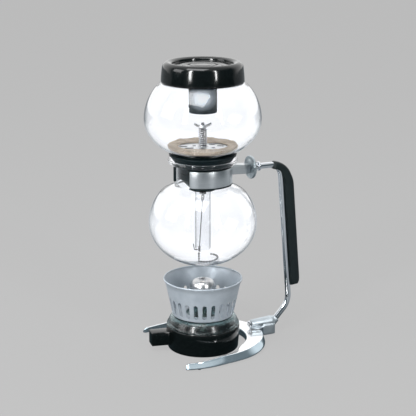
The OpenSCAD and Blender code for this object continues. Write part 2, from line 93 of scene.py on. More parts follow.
def mesh_piece(name, verts, faces, smooth_angle=35):
    """A mesh object from points in millimetres, shaded smooth except at sharp edges."""
    mesh = bpy.data.meshes.new(name)
    mesh.from_pydata([tuple(c * MM for c in v) for v in verts], [], faces)
    mesh.validate()
    bm = bmesh.new()
    bm.from_mesh(mesh)
    bmesh.ops.remove_doubles(bm, verts=bm.verts, dist=1e-7)
    bmesh.ops.recalc_face_normals(bm, faces=bm.faces)
    shade(bm, smooth_angle)
    bm.to_mesh(mesh)
    bm.free()
    piece = bpy.data.objects.new(name, mesh)
    bpy.context.scene.collection.objects.link(piece)
    return piece


def grid_faces(rows, columns, close_rows, close_columns):
    """Quads of a grid of points stored row by row."""
    faces = []
    for i in range(rows if close_rows else rows - 1):
        for j in range(columns if close_columns else columns - 1):
            a = i * columns + j
            b = i * columns + (j + 1) % columns
            c = ((i + 1) % rows) * columns + (j + 1) % columns
            d = ((i + 1) % rows) * columns + j
            faces.append((a, b, c, d))
    return faces


def lathe(name, profile, segments=128, closed=True, smooth_angle=35, wobble=None):
    """A turned piece: the profile's (radius, height) points go round the z axis."""
    verts = []
    for i in range(segments):
        a = TURN * i / segments
        for r, z in profile:
            if wobble:
                r, z = wobble(a, r, z)
            verts.append((r * math.cos(a), r * math.sin(a), z))
    faces = grid_faces(segments, len(profile), True, closed)
    return mesh_piece(name, verts, faces, smooth_angle)


def frames_along(path, closed):
    """Unit tangent, side and up vectors along a path, turned as little as possible."""
    count = len(path)
    tangents = []
    for i in range(count):
        before = path[(i - 1) % count] if closed or i > 0 else path[i]
        after = path[(i + 1) % count] if closed or i < count - 1 else path[i]
        tangents.append((after - before).normalized())
    side = tangents[0].orthogonal().normalized()
    frames = []
    for t in tangents:
        side = (side - side.dot(t) * t).normalized()
        frames.append((t, side, t.cross(side)))
    return frames


def sweep(name, path, radius, sides=16, closed=False, smooth_angle=40):
    """A round wire or rod along a path in millimetres."""
    path = [Vector(p) for p in path]
    verts = []
    for p, (_, u, v) in zip(path, frames_along(path, closed)):
        for k in range(sides):
            a = TURN * k / sides
            verts.append(p + radius * (math.cos(a) * u + math.sin(a) * v))
    return skin(name, verts, len(path), sides, closed, smooth_angle)


def skin(name, verts, rows, columns, closed, smooth_angle):
    """Rings of points joined into a tube, with flat ends if it isn't closed."""
    faces = grid_faces(rows, columns, closed, True)
    if not closed:
        faces.append(tuple(range(columns)))
        faces.append(tuple((rows - 1) * columns + k for k in range(columns)))
    return mesh_piece(name, verts, faces, smooth_angle)


def loft(name, sections, smooth_angle):
    """A skin through sections that all have the same number of points."""
    verts = [p for section in sections for p in section]
    return skin(name, verts, len(sections), len(sections[0]), False, smooth_angle)


def rounded(u0, u1, v0, v1, corner):
    """Outline of a rectangle with round corners."""
    points = []
    for u, v, start in ((u1 - corner, v1 - corner, 0), (u0 + corner, v1 - corner, 90),
                        (u0 + corner, v0 + corner, 180), (u1 - corner, v0 + corner, 270)):
        points += arc(u, v, corner, start, start + 90, 3)
    return points


def prism(low, high):
    """A closed solid between two outlines with the same number of points."""
    n = len(low)
    faces = [tuple(range(n))[::-1], tuple(range(n, 2 * n))]
    faces += [(i, (i + 1) % n, n + (i + 1) % n, n + i) for i in range(n)]
    return mesh_piece("cutter", low + high, faces)


def box_mesh(name, lo, hi, bevel, segments=3):
    """A block with rounded edges."""
    piece = mesh_piece(name, [(x, y, z) for x in (lo[0], hi[0]) for y in (lo[1], hi[1])
                              for z in (lo[2], hi[2])],
                       [(0, 1, 3, 2), (4, 6, 7, 5), (0, 4, 5, 1), (2, 3, 7, 6), (0, 2, 6, 4), (1, 5, 7, 3)])
    bm = bmesh.new()
    bm.from_mesh(piece.data)
    bmesh.ops.bevel(bm, geom=bm.edges[:], offset=bevel * MM, segments=segments, profile=0.5, affect="EDGES")
    shade(bm, 50)
    bm.to_mesh(piece.data)
    bm.free()
    return piece


def place(piece, matrix):
    """Bakes a placement into the mesh, so that the piece's own origin stays at the frame's origin."""
    piece.data.transform(matrix)
    piece.data.update()
    return piece


def join(name, *pieces):
    """One piece from several closed shells."""
    bpy.ops.object.select_all(action="DESELECT")
    for piece in pieces:
        piece.select_set(True)
    bpy.context.view_layer.objects.active = pieces[0]
    bpy.ops.object.join()
    pieces[0].name = name
    pieces[0].data.name = name
    return pieces[0]


def apply_modifiers(piece):
    """Replaces the mesh by its shape with all modifiers."""
    graph = bpy.context.evaluated_depsgraph_get()
    shaped = bpy.data.meshes.new_from_object(piece.evaluated_get(graph))
    piece.modifiers.clear()
    piece.data = shaped
    return piece


def subtract(piece, cutter):
    """Cuts a closed shape out of a piece."""
    cut = piece.modifiers.new("cut", "BOOLEAN")
    cut.operation = "DIFFERENCE"
    cut.object = cutter
    cut.solver = "EXACT"
    apply_modifiers(piece)
    bpy.data.objects.remove(cutter)


def thicken(piece, thickness, offset):
    """Gives a sheet its thickness in millimetres: offset 0 to both sides, 1 outwards."""
    solid = piece.modifiers.new("thickness", "SOLIDIFY")
    solid.thickness = thickness * MM
    solid.offset = offset
    apply_modifiers(piece)


def tipped(degrees, axis):
    return Matrix.Rotation(rad(degrees), 4, axis)


def around(degrees):
    """Turn about the z axis."""
    return tipped(degrees, "Z")


def at(x, y, z):
    """Move by millimetres."""
    return Matrix.Translation(Vector((x, y, z)) * MM)


# ---------------------------------------------------------------- material helpers

def node_math(tree, operation, a, b=0.0, clamp=False):
    node = tree.nodes.new("ShaderNodeMath")
    node.operation = operation
    node.use_clamp = clamp
    for socket, value in zip(node.inputs, (a, b)):
        if isinstance(value, bpy.types.NodeSocket):
            tree.links.new(value, socket)
        else:
            socket.default_value = value
    return node.outputs["Value"]


class Paint:
    """A procedural material: a Principled shader with noise-driven colour, roughness and bump."""

    def __init__(self, name, **sockets):
        self.material = bpy.data.materials.new(name)
        self.material.use_nodes = True
        self.tree = self.material.node_tree
        self.shader = self.tree.nodes["Principled BSDF"]
        for socket, value in sockets.items():
            self.shader.inputs[socket.replace("_", " ")].default_value = value
        self.coords = self.tree.nodes.new("ShaderNodeTexCoord").outputs["Object"]

    def node(self, kind, **inputs):
        node = self.tree.nodes.new(kind)
        for key, value in inputs.items():
            if hasattr(node, key):
                setattr(node, key, value)
            else:
                socket = node.inputs[key]
                if isinstance(value, bpy.types.NodeSocket):
                    self.tree.links.new(value, socket)
                else:
                    socket.default_value = value
        return node

    def stretched(self, x, y, z):
        return self.node("ShaderNodeMapping", Vector=self.coords, Scale=(x, y, z)).outputs["Vector"]

    def noise(self, scale, detail=4.0, vector=None, rough=0.55):
        return self.node("ShaderNodeTexNoise", Vector=vector or self.coords, Scale=scale, Detail=detail,
                         Roughness=rough).outputs["Fac"]

    def mapped(self, value, low, high):
        """Stretches the middle of a noise, 0.3 to 0.7, over low to high."""
        node = self.node("ShaderNodeMapRange", Value=value)
        node.inputs["From Min"].default_value = 0.3
        node.inputs["From Max"].default_value = 0.7
        node.inputs["To Min"].default_value = low
        node.inputs["To Max"].default_value = high
        return node.outputs["Result"]

    def colours(self, value, *stops):
        """Colour from a value; stops are (place, (r, g, b))."""
        node = self.tree.nodes.new("ShaderNodeValToRGB")
        ramp = node.color_ramp
        while len(ramp.elements) < len(stops):
            ramp.elements.new(0.5)
        for element, (position, colour) in zip(ramp.elements, stops):
            element.position = position
            element.color = (*colour, 1)
        self.tree.links.new(value, node.inputs["Fac"])
        self.tree.links.new(node.outputs["Color"], self.shader.inputs["Base Color"])
        return self

    def roughness(self, value, low, high):
        self.tree.links.new(self.mapped(value, low, high), self.shader.inputs["Roughness"])
        return self

    def bump(self, value, strength, distance_mm):
        node = self.node("ShaderNodeBump", Height=value, Strength=strength, Distance=distance_mm * MM)
        self.tree.links.new(node.outputs["Normal"], self.shader.inputs["Normal"])
        return self

    def math(self, operation, a, b=0.0):
        return node_math(self.tree, operation, a, b)


def plain_paint(name, tone, stops, rough, bump, **sockets):
    """Colour, roughness and bump from noises: (scale, detail), then low and high, or strength and depth."""
    paint = Paint(name, **sockets)
    paint.colours(paint.noise(*tone), *stops)
    paint.roughness(paint.noise(*rough[:2]), *rough[2:])
    paint.bump(paint.noise(*bump[:2]), *bump[2:])
    return paint.material


def chrome_paint():
    stops = ((0.35, (0.74, 0.77, 0.80)), (0.65, (0.82, 0.84, 0.87)))
    return plain_paint("chrome", (60, 3), stops, (220, 5, 0.035, 0.10), (900, 2, 0.02, 0.05), Metallic=1.0)


def chrome_with_painted_reflection_paint():
    """Chrome with a painted reflection: its colour follows how far the surface faces up, so side walls are
    painted bluer and darker and flat tops near white.
    """
    paint = Paint("foot_chrome_painted_reflection", Metallic=0.8)
    facing = paint.node("ShaderNodeSeparateXYZ", Vector=paint.node("ShaderNodeNewGeometry").outputs["Normal"])
    painted_light_and_grain = paint.math("ADD", facing.outputs["Z"], paint.math("MULTIPLY", paint.noise(300, 4), 0.04))
    # Painted reflection: upward tilt plus a little grain noise picks the colour, dark blue-grey on walls and
    # near white on flat tops.
    paint.colours(painted_light_and_grain, (0.60, (0.46, 0.56, 0.62)), (0.90, (0.64, 0.72, 0.77)), (0.98, (0.96, 0.97, 0.98)))
    paint.roughness(paint.noise(500, 4), 0.06, 0.12)
    paint.bump(paint.noise(60, 2), 0.02, 0.10)
    return paint.material


def steel_paint(name, low, high, dark=0.50, light=0.70):
    stops = ((0.3, (dark, dark * 1.01, dark * 1.03)), (0.7, (light, light * 1.01, light * 1.03)))
    return plain_paint(name, (140, 4), stops, (500, 4, low, high), (1500, 2, 0.06, 0.05), Metallic=1.0)


def brushed_paint():
    paint = Paint("brushed_steel", Metallic=1.0)
    streaks = paint.noise(1, 5, paint.stretched(40, 40, 5200), 0.7)
    paint.colours(streaks, (0.3, (0.60, 0.63, 0.65)), (0.7, (0.74, 0.77, 0.79)))
    paint.roughness(streaks, 0.26, 0.36)
    paint.bump(streaks, 0.10, 0.03)
    return paint.material


def knob_paint():
    stops = ((0.3, (0.42, 0.48, 0.51)), (0.7, (0.51, 0.57, 0.60)))
    return plain_paint("satin_chrome", (200, 4), stops, (700, 4, 0.22, 0.34), (1800, 2, 0.06, 0.04),
                       Metallic=1.0)


def cast_paint():
    stops = ((0.3, (0.50, 0.56, 0.60)), (0.7, (0.60, 0.66, 0.70)))
    return plain_paint("cast_grey", (160, 5), stops, (160, 5, 0.34, 0.48), (1400, 4, 0.12, 0.06),
                       Metallic=0.85)


def gloss_black_paint():
    stops = ((0.35, (0.0016, 0.0024, 0.0024)), (0.75, (0.004, 0.006, 0.006)))
    return plain_paint("gloss_black", (420, 6), stops, (130, 5, 0.09, 0.16), (90, 3, 0.04, 0.08), IOR=1.5)


def grip_paint():
    stops = ((0.3, (0.003, 0.008, 0.009)), (0.7, (0.007, 0.013, 0.014)))
    return plain_paint("grip_black", (240, 4), stops, (1300, 5, 0.34, 0.50), (1300, 5, 0.22, 0.10),
                       IOR=1.5, Specular_IOR_Level=0.3)


def rubber_paint():
    stops = ((0.3, (0.0015, 0.008, 0.010)), (0.7, (0.004, 0.013, 0.016)))
    return plain_paint("black_rubber", (180, 5), stops, (900, 5, 0.38, 0.58), (900, 5, 0.15, 0.08),
                       IOR=1.5, Specular_IOR_Level=0.25)


def tube_painted_glow_paint():
    """Satin grey metal with a painted highlight: a soft bright middle painted into its colour, with painted
    shade towards its ends and towards its sides as seen.
    """
    paint = Paint("tube_grey", Metallic=0.5, Specular_IOR_Level=0.2)
    height = paint.node("ShaderNodeSeparateXYZ", Vector=paint.coords).outputs["Z"]
    # Painted shade: darker with height away from the tube's middle and towards its sides as seen, which leaves
    # a painted highlight in the middle.
    off = paint.math("MULTIPLY", paint.math("SUBTRACT", height, (TUBE_LO.z + 17.5) * MM), 1 / (15 * MM))
    edge = paint.node("ShaderNodeLayerWeight").outputs["Facing"]
    shade = paint.math("ADD", paint.math("MULTIPLY", off, off), paint.math("MULTIPLY", edge, 1.1))
    painted_light_and_grain = paint.math("ADD", shade, paint.math("MULTIPLY", paint.noise(160, 4), 0.05))
    stops = ((0.04, (0.74, 0.79, 0.85)), (0.40, (0.25, 0.29, 0.33)), (0.95, (0.035, 0.048, 0.055)))
    paint.colours(painted_light_and_grain, *stops)
    paint.roughness(paint.noise(700, 4), 0.58, 0.68)
    paint.bump(paint.noise(1200, 3), 0.04, 0.04)
    return paint.material


def glass_paint(name, tint, low, high):
    paint = Paint(name, Transmission_Weight=1.0, IOR=1.47, Base_Color=(*tint, 1))
    paint.roughness(paint.noise(70, 3), low, high)
    paint.bump(paint.noise(45, 2), 0.03, 0.15)
    return paint.material


def weave(paint, threads_per_mm):
    """Height of a plain weave: crossing thread waves, over and under."""
    k = threads_per_mm / MM * math.pi
    split = paint.node("ShaderNodeSeparateXYZ", Vector=paint.coords)
    x = paint.math("SINE", paint.math("MULTIPLY", split.outputs["X"], k))
    y = paint.math("SINE", paint.math("MULTIPLY", split.outputs["Y"], k))
    return paint.math("MULTIPLY", x, y)


def cloth_paint():
    paint = Paint("filter_cloth", Sheen_Weight=0.35, Sheen_Roughness=0.5)
    threads = weave(paint, 1.6)
    blotch = paint.noise(130, 6)
    mixed = paint.math("ADD", paint.math("MULTIPLY", threads, 0.10), blotch)
    paint.colours(mixed, (0.30, (0.50, 0.38, 0.27)), (0.52, (0.66, 0.54, 0.41)), (0.75, (0.76, 0.65, 0.53)))
    paint.roughness(blotch, 0.75, 0.95)
    paint.bump(paint.math("ADD", paint.math("MULTIPLY", threads, 0.5), paint.noise(900, 4)), 0.5, 0.25)
    return paint.material


def wick_paint():
    paint = Paint("wick_cotton", Sheen_Weight=0.4)
    threads = paint.noise(1, 3, paint.stretched(2400, 2400, 500))
    paint.colours(threads, (0.3, (0.40, 0.36, 0.30)), (0.7, (0.78, 0.74, 0.66)))
    paint.roughness(threads, 0.8, 0.95)
    paint.bump(threads, 0.7, 0.3)
    return paint.material


def windscreen_paint():
    stops = ((0.3, (0.40, 0.45, 0.50)), (0.7, (0.47, 0.52, 0.57)))
    return plain_paint("windscreen_paint", (90, 5), stops, (700, 5, 0.36, 0.50), (1700, 3, 0.08, 0.05),
                       Metallic=0.3, Coat_Weight=0.15, Coat_Roughness=0.3)


def mark_paint():
    paint = Paint("mark_print")
    paint.colours(paint.noise(900, 4), (0.3, (0.62, 0.62, 0.62)), (0.7, (0.74, 0.74, 0.74)))
    paint.roughness(paint.noise(900, 2), 0.5, 0.7)
    return paint.material


def finish_piece(piece, look, body, slot, *nodes):
    """Gives a piece its material and its body, and hides the CAD nodes it stands for; its slot argument is not
    used.
    """
    piece.data.materials.clear()
    piece.data.materials.append(LOOKS[look])
    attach(piece, body)
    if nodes:
        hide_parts(*nodes)
    return piece


# ---------------------------------------------------------------- sizes from the frame, in millimetres

def size(node):
    """Lowest and highest corner of a CAD node, in millimetres."""
    lo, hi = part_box(node)
    return lo / MM, hi / MM


UPPER_LO, UPPER_HI = size("upper_bowl")
LOWER_LO, LOWER_HI = size("lower_bowl")
LID_LO, LID_HI = size("lid_cap")
TUBE_LO, TUBE_HI = size("lid_tube")
SCREEN_LO, SCREEN_HI = size("windscreen")
BASE_LO, BASE_HI = size("stand_base")
LUG_LO = size("stand_lug")[0]
JAW_LO, JAW_HI = size("neck_jaw_rear")
KNOB_LO, KNOB_HI = size("clamp_knob")
GRIP_LO = size("grip")[0]
SPRING_LO, SPRING_HI = size("filter_spring")
PULL_LO, PULL_HI = size("stem_spring")
CLOTH_LO, CLOTH_HI = size("filter_cloth")
DISH_LO, DISH_HI = size("wick_holder")
BURNER_HI = size("burner_base")[1]

VIEW_TURN = -25  # degrees from the object's own x axis to the view's
GLASS_WALL = 1.2
UPPER_EGG = (272.3, 59.4, 45.7)  # height of the widest ring, rise above it, drop below it
LOWER_EGG = (151.6, 56.7, 50.4)
NECK_R = 30.6
JAW_END = 141  # degrees from the arms to the end of the jaws
ROD_TOP_Z = 210
ROD_R = 3.5
LEAN = 4.87  # degrees that the handle leans outwards
BURNER_R = 43.0
BLOCK_TOP_Z = 23.4

LOOKS = {
    "chrome": chrome_paint(),
    # foot chrome: its colour carries a painted reflection, dark on walls and bright on flat tops
    "foot_chrome_painted_reflection": chrome_with_painted_reflection_paint(),
    "steel": steel_paint("bright_steel", 0.12, 0.26),
    "satin_steel": steel_paint("satin_steel", 0.24, 0.36, 0.52, 0.68),
    "dark_steel": steel_paint("dark_steel", 0.16, 0.30, 0.20, 0.34),
    "bright_plate": steel_paint("bright_plate", 0.30, 0.45, 0.84, 0.95),
    "brushed_steel": brushed_paint(),
    "satin_chrome": knob_paint(),
    "cast_grey": cast_paint(),
    "gloss_black": gloss_black_paint(),
    "grip_black": grip_paint(),
    "black_rubber": rubber_paint(),
    # tube grey: a painted highlight in the middle and painted shade at the ends and sides
    "tube_grey": tube_painted_glow_paint(),
    "clear_glass": glass_paint("clear_glass", (0.985, 0.99, 1.0), 0.0, 0.012),
    "green_glass": glass_paint("green_glass", (0.44, 0.57, 0.59), 0.18, 0.28),
    "filter_cloth": cloth_paint(),
    "wick_cotton": wick_paint(),
    "windscreen_paint": windscreen_paint(),
    "mark_print": mark_paint(),
}


# ---------------------------------------------------------------- glass bowls

def bowl_outline(r, mid_z, rise, drop, a0, a1, n):
    """Egg-shaped outline from the underside (negative angles) to the shoulder."""
    return [(r * math.cos(rad(a)), mid_z + (rise if a > 0 else drop) * math.sin(rad(a)))
            for a in [a0 + (a1 - a0) * i / n for i in range(n + 1)]]


def upper_bowl_piece():
    r = (UPPER_HI.x - UPPER_LO.x) / 2
    mid_z, rise, drop = UPPER_EGG
    stem_r, mouth_r = 9.0, 45.0

    def outline(inset):
        shoulder = math.degrees(math.asin((309.5 - mid_z) / (rise - inset)))
        egg = bowl_outline(r - inset, mid_z, rise - inset, drop - inset, -73, shoulder, 56)
        end = egg[-1]
        funnel = curve((stem_r - inset, 219 + inset), (stem_r - inset, 226 + inset),
                       (stem_r + 1, 227.2 + inset), egg[0], 14)
        top = curve(end, (end[0] - 3.2, end[1] + 3.5), (mouth_r - inset, UPPER_HI.z - 3.4),
                    (mouth_r - inset, UPPER_HI.z - 0.8), 12)
        stem = [(stem_r - inset, UPPER_LO.z + 0.8 + (219 - UPPER_LO.z) * i / 30) for i in range(30)]
        return stem + funnel[1:] + egg[1:] + top[1:]

    outside = outline(0)
    inside = outline(GLASS_WALL)
    rim = arc(mouth_r - GLASS_WALL / 2, UPPER_HI.z - 0.8, GLASS_WALL / 2, 0, 180, 6)[1:-1]
    foot = arc(stem_r - GLASS_WALL / 2, UPPER_LO.z + 0.8, GLASS_WALL / 2, 180, 360, 6)[1:-1]
    piece = lathe("upper_bowl_glass", outside + rim + inside[::-1] + foot, 160, True, 80)
    return finish_piece(piece, "clear_glass", "upper_chamber", "clear_glass", "upper_bowl")


def lower_bowl_piece():
    r = (LOWER_HI.x - LOWER_LO.x) / 2
    mid_z, rise, drop = LOWER_EGG
    neck_top, lip_r = 217.6, 39.2

    def outline(inset):
        shoulder = math.degrees(math.asin((187 - mid_z) / (rise - inset)))
        egg = bowl_outline(r - inset, mid_z, rise - inset, drop - inset, -90, shoulder, 64)
        egg[0] = (0.02, egg[0][1])
        end = egg[-1]
        shoulder_curve = curve(end, (end[0] - 5.5, end[1] + 6.2), (NECK_R - inset, 193.5),
                               (NECK_R - inset, 198), 14)
        neck = [(NECK_R - inset, 198 + (neck_top - 198) * i / 4) for i in range(1, 5)]
        lip = curve((NECK_R - inset, neck_top), (NECK_R - inset, neck_top + 2.6),
                    (lip_r - inset - 2, neck_top + 2), (lip_r - inset, LOWER_HI.z - 4.2), 12)
        return egg + shoulder_curve[1:] + neck + lip[1:]

    outside = outline(0)
    inside = outline(GLASS_WALL)
    rim = arc(lip_r - GLASS_WALL / 2, LOWER_HI.z - 1.3, 1.2, -50, 230, 12)
    piece = lathe("lower_bowl_glass", outside + rim + inside[::-1], 160, False, 80)
    return finish_piece(piece, "clear_glass", "stand", "clear_glass", "lower_bowl")


def level_marks_piece():
    """Three short printed level lines on the lower bowl, each with a small tick above it."""
    r = (LOWER_HI.x - LOWER_LO.x) / 2 + 0.06
    mid_z, rise, drop = LOWER_EGG
    marks = []
    for z, half_width in ((157.6, 3.0), (151.0, 4.0), (139.6, 3.4)):
        for dz, wide, turn in ((0, half_width, 0), (1.7, half_width * 0.35, 0.4)):
            strip = []
            for i in range(9):
                a = rad(-62 + turn + (i / 8 - 0.5) * 2 * math.degrees(wide / r))
                for h in (-0.22, 0.22):
                    zz = z + dz + h
                    k = r * math.sqrt(1 - ((zz - mid_z) / (rise if zz > mid_z else drop)) ** 2)
                    strip.append((k * math.cos(a), k * math.sin(a), zz))
            marks.append(mesh_piece("mark", strip, grid_faces(9, 2, False, False)))
    piece = join("level_marks", *marks)
    thicken(piece, 0.05, 1)
    return finish_piece(piece, "mark_print", "stand", "clear_glass")


# ---------------------------------------------------------------- seals and clamp

def gasket_piece():
    lo = size("rubber_gasket")[0]
    seat = bowl_outline(66.45, 272.3, 59.4, 45.75, -58, -73, 10)
    profile = (
        [(9.05, lo.z + 0.8), (9.9, lo.z), (12.2, lo.z)] + arc(12.6, lo.z + 0.7, 0.7, -90, -44, 3)
        + [(26.7, lo.z + 14.0)] + arc(26.6, lo.z + 15.0, 1.3, -40, -5, 4)
        + [(28.3, 208.4), (28.5, 211.6), (27.9, 212.1), (27.9, 212.9), (28.5, 213.4), (28.6, 217.4)]
        + curve((28.6, 217.8), (29.4, 220.2), (33.6, 224.2), (34.9, 226.3), 8)
        + [(35.4, 227.6), (36.6, 228.6), (38.2, 230.4)]
        + arc(37.7, 231.6, 0.85, -20, 110, 6)
        + seat
        + [(13, 226.4), (9.9, 224.6), (9.05, 221.5)]
    )
    piece = lathe("rubber_bung", profile, 144, True, 50)
    return finish_piece(piece, "black_rubber", "upper_chamber", "black_rubber", "rubber_gasket")


def band_piece(r0, r1, z0, z1, a0, a1):
    """A curved strip with rounded edges and ends."""
    corner, soft, steps = 0.5, 2.0, 60

    def section(a, shrink):
        outline = rounded(r0, r1, z0 + shrink, z1 - shrink, corner)
        return [(r * math.cos(rad(a)), r * math.sin(rad(a)), z) for r, z in outline]

    ends = [(soft * 0.8 * (1 - math.cos(rad(18 * i))), soft * (1 - math.sin(rad(18 * i)))) for i in range(6)]
    sections = [section(a0 + step, shrink) for step, shrink in ends]
    sections += [section(a0 + soft + (a1 - a0 - 2 * soft) * i / steps, 0) for i in range(1, steps)]
    sections += [section(a1 - step, shrink) for step, shrink in ends[::-1]]
    return loft("band", sections, 45)


def jaw_pieces():
    """The two halves of the neck clamp: a curved band that ends in a flat arm."""
    r1, wall = 33.8, 1.4
    arm_end = JAW_HI.x
    heights = ((r1 - 1.0, 204.4, 216.2), (36, 204.4, 216.2), (39, 204.5, 216.0), (44, 204.2, 215.6),
               (50, 203.9, 215.0), (arm_end - 0.6, 203.8, 214.4), (arm_end, 204.2, 214.0))
    for side, name in ((1, "rear"), (-1, "front")):
        band = band_piece(r1 - wall, r1, JAW_LO.z, JAW_HI.z, 7, JAW_END)
        sections = []
        for x, low, high in heights:
            shrink = 0.5 if x > arm_end - 0.1 else 0
            sections.append([(x, y, z) for y, z in rounded(0.1 + shrink, 5.0 - shrink, low, high, 0.7)])
        piece = join("clamp_jaw_" + name, band, loft("arm", sections, 45))
        if side < 0:
            place(piece, Matrix.Scale(-1, 4, Vector((0, 1, 0))))
            piece.data.flip_normals()
        finish_piece(piece, "brushed_steel", "stand", "brushed_steel", "neck_jaw_" + name)


def liner_piece():
    """Rubber strip with a lip above and below the band; it wraps the rear jaw's end."""
    z0, z1 = size("neck_liner")[0].z, size("neck_liner")[1].z
    profile = ([(NECK_R + 0.05, z0 + 1.6), (NECK_R + 0.5, z0 + 1.1)] + arc(33.3, z0 + 0.5, 0.5, -90, 60, 4)
               + [(32.38, z0 + 1.15), (32.38, z1 - 0.85)] + arc(33.3, z1 - 0.42, 0.42, -60, 90, 4)
               + [(NECK_R + 1.0, z1), (NECK_R + 0.1, z1 - 0.9)])

    def ring_section(a, points):
        return [(r * math.cos(rad(a)), r * math.sin(rad(a)), z) for r, z in points]

    first, last = -JAW_END - 1, JAW_END + 0.4
    strip = loft("strip", [ring_section(first + (last - first) * i / 120, profile) for i in range(121)], 40)
    mid_r, mid_z = 32.5, (z0 + z1) / 2
    cap_profile = rounded(30.65, 34.35, z0 + 1.05, z1 - 0.55, 0.75)
    sections = []
    for turn, scale in ((0.15, 0.8), (0.45, 0.95), (1.1, 1), (3.2, 1), (3.9, 0.93), (4.2, 0.75)):
        flat = 0.9 + 0.1 * scale
        scaled = [(mid_r + (r - mid_r) * scale, mid_z + (z - mid_z) * flat) for r, z in cap_profile]
        sections.append(ring_section(JAW_END + turn, scaled))
    cap = loft("cap", sections, 60)
    piece = join("neck_liner_strip", strip, cap)
    return finish_piece(piece, "black_rubber", "stand", "black_rubber", "neck_liner")


def knob_piece():
    """Round clamp nut with a fine knurl on its edge and a hub."""
    x0, x1 = KNOB_LO.x, KNOB_HI.x
    r = (KNOB_HI.z - KNOB_LO.z) / 2
    profile = ([(3.55, 0.0), (4.2, 0.0), (8.4, 0.0), (8.9, 0.35), (11.6, 0.35), (12.0, 0.0)]
               + arc(r - 0.9, 0.9, 0.9, -90, 0, 4) + arc(r - 0.9, 2.5, 0.9, 0, 90, 4)
               + [(12.0, 3.4), (11.5, 3.1), (7.4, 3.1), (6.6, 3.5), (5.9, 4.6), (5.3, x1 - x0 - 0.4),
                  (4.9, x1 - x0), (3.55, x1 - x0)])

    def knurl(a, rr, z):
        if rr > r - 0.5:
            rr -= 0.16 * (0.5 + 0.5 * math.cos(60 * a))
        return rr, z

    piece = lathe("clamp_nut_round", profile, 240, True, 40, knurl)
    place(piece, at(x0, 0, ROD_TOP_Z) @ tipped(90, "Y"))
    return finish_piece(piece, "satin_chrome", "clamp_knob", "chrome", "clamp_knob")


def collar_piece():
    profile = ([(3.51, 0.0)] + arc(4.7, 0.7, 0.7, -90, 0, 4) + arc(4.7, 1.9, 0.7, 0, 90, 4) + [(3.51, 2.6)])
    piece = lathe("rod_stop_ring", profile, 64)
    place(piece, at(size("rod_collar")[0].x, 0, ROD_TOP_Z) @ tipped(90, "Y"))
    return finish_piece(piece, "chrome", "stand", "chrome", "rod_collar")


# ---------------------------------------------------------------- rod, grip, socket and foot

TOP_BEND = (86.8, ROD_TOP_Z - 14, 14)
FOOT_BEND = (87.5, 46.8, 26)
FOOT_END = -43


def rod_line(step):
    """Centre line of the rod in the handle's plane, from the clamp to the socket."""
    line = [(50 + (TOP_BEND[0] - 50) * i / 12, ROD_TOP_Z) for i in range(12)]
    line += arc(*TOP_BEND, 90, LEAN, 18)
    start = line[-1]
    bend_x, bend_z, bend_r = FOOT_BEND
    end = (bend_x + bend_r * math.cos(rad(LEAN)), bend_z + bend_r * math.sin(rad(LEAN)))
    line += [(start[0] + (end[0] - start[0]) * i / step, start[1] + (end[1] - start[1]) * i / step)
             for i in range(1, step)]
    line += arc(*FOOT_BEND, LEAN, FOOT_END, 18)
    last = line[-1]
    ahead = (math.sin(rad(FOOT_END)), -math.cos(rad(FOOT_END)))
    line += [(last[0] + ahead[0] * d, last[1] + ahead[1] * d) for d in (6, 12, 22)]
    return line


def rod_piece():
    piece = sweep("handle_rod", [(x, 0, z) for x, z in rod_line(40)], ROD_R, 32)
    return finish_piece(piece, "chrome", "stand", "chrome", "stand_rod")


def grip_piece():
    """Moulded grip: a sleeve round the rod at its start that turns into a deep rib outside the rod."""
    depth, half, start, foot_z = 11.0, 6.0, 76.0, GRIP_LO.z + 1.5
    stations = []
    centre = Vector(TOP_BEND[:2])
    for i in range(25):
        a = start + (LEAN - start) * i / 24
        out = Vector((math.cos(rad(a)), math.sin(rad(a))))
        grown = ((90 - a) / 105) ** 1.6
        inner = -4.1 + 4.1 * ease((start - a) / (start - LEAN))
        stations.append((centre + TOP_BEND[2] * out, out, grown, inner))
    share = ((90 - LEAN) / 105) ** 1.6
    out = Vector((math.cos(rad(LEAN)), math.sin(rad(LEAN))))
    down = Vector((math.sin(rad(LEAN)), -math.cos(rad(LEAN))))
    top = centre + TOP_BEND[2] * out
    length = (top.y - foot_z) / math.cos(rad(LEAN))
    steps = 44
    for i in range(1, steps + 1):
        d = length * i / steps
        grown = 1 - (1 - share) * max(0.0, 1 - d / 14) ** 2
        stations.append((top + d * down, out, grown, 2.6 * ease(d / 6)))
    sections = []
    for i, (p, out, grown, inner) in enumerate(stations):
        last = len(stations) - 1 - i
        trim = (0.80, 0.93, 0.985)[i] if i < 3 else ((0.72, 0.90, 0.98)[last] if last < 3 else 1.0)
        reach = (ROD_R + 0.6 + depth * grown) * (1 if i < 3 else 0.75 + 0.25 * trim)
        wide = half * trim
        corner = min(3.6, (reach - inner) * 0.42)
        points = []
        for cu, cv, c, turn in ((reach - corner, wide - corner, corner, 0),
                                (inner + 1.2, wide - 1.2, 1.2, 90),
                                (inner + 1.2, 1.2 - wide, 1.2, 180),
                                (reach - corner, corner - wide, corner, 270)):
            points += arc(cu, cv, c, turn, turn + 90, 6)
        sections.append([(p.x + u * out.x, v, p.y + u * out.y) for u, v in points])
    piece = loft("handle_grip", sections, 50)
    return finish_piece(piece, "grip_black", "stand", "grip_black", "grip")


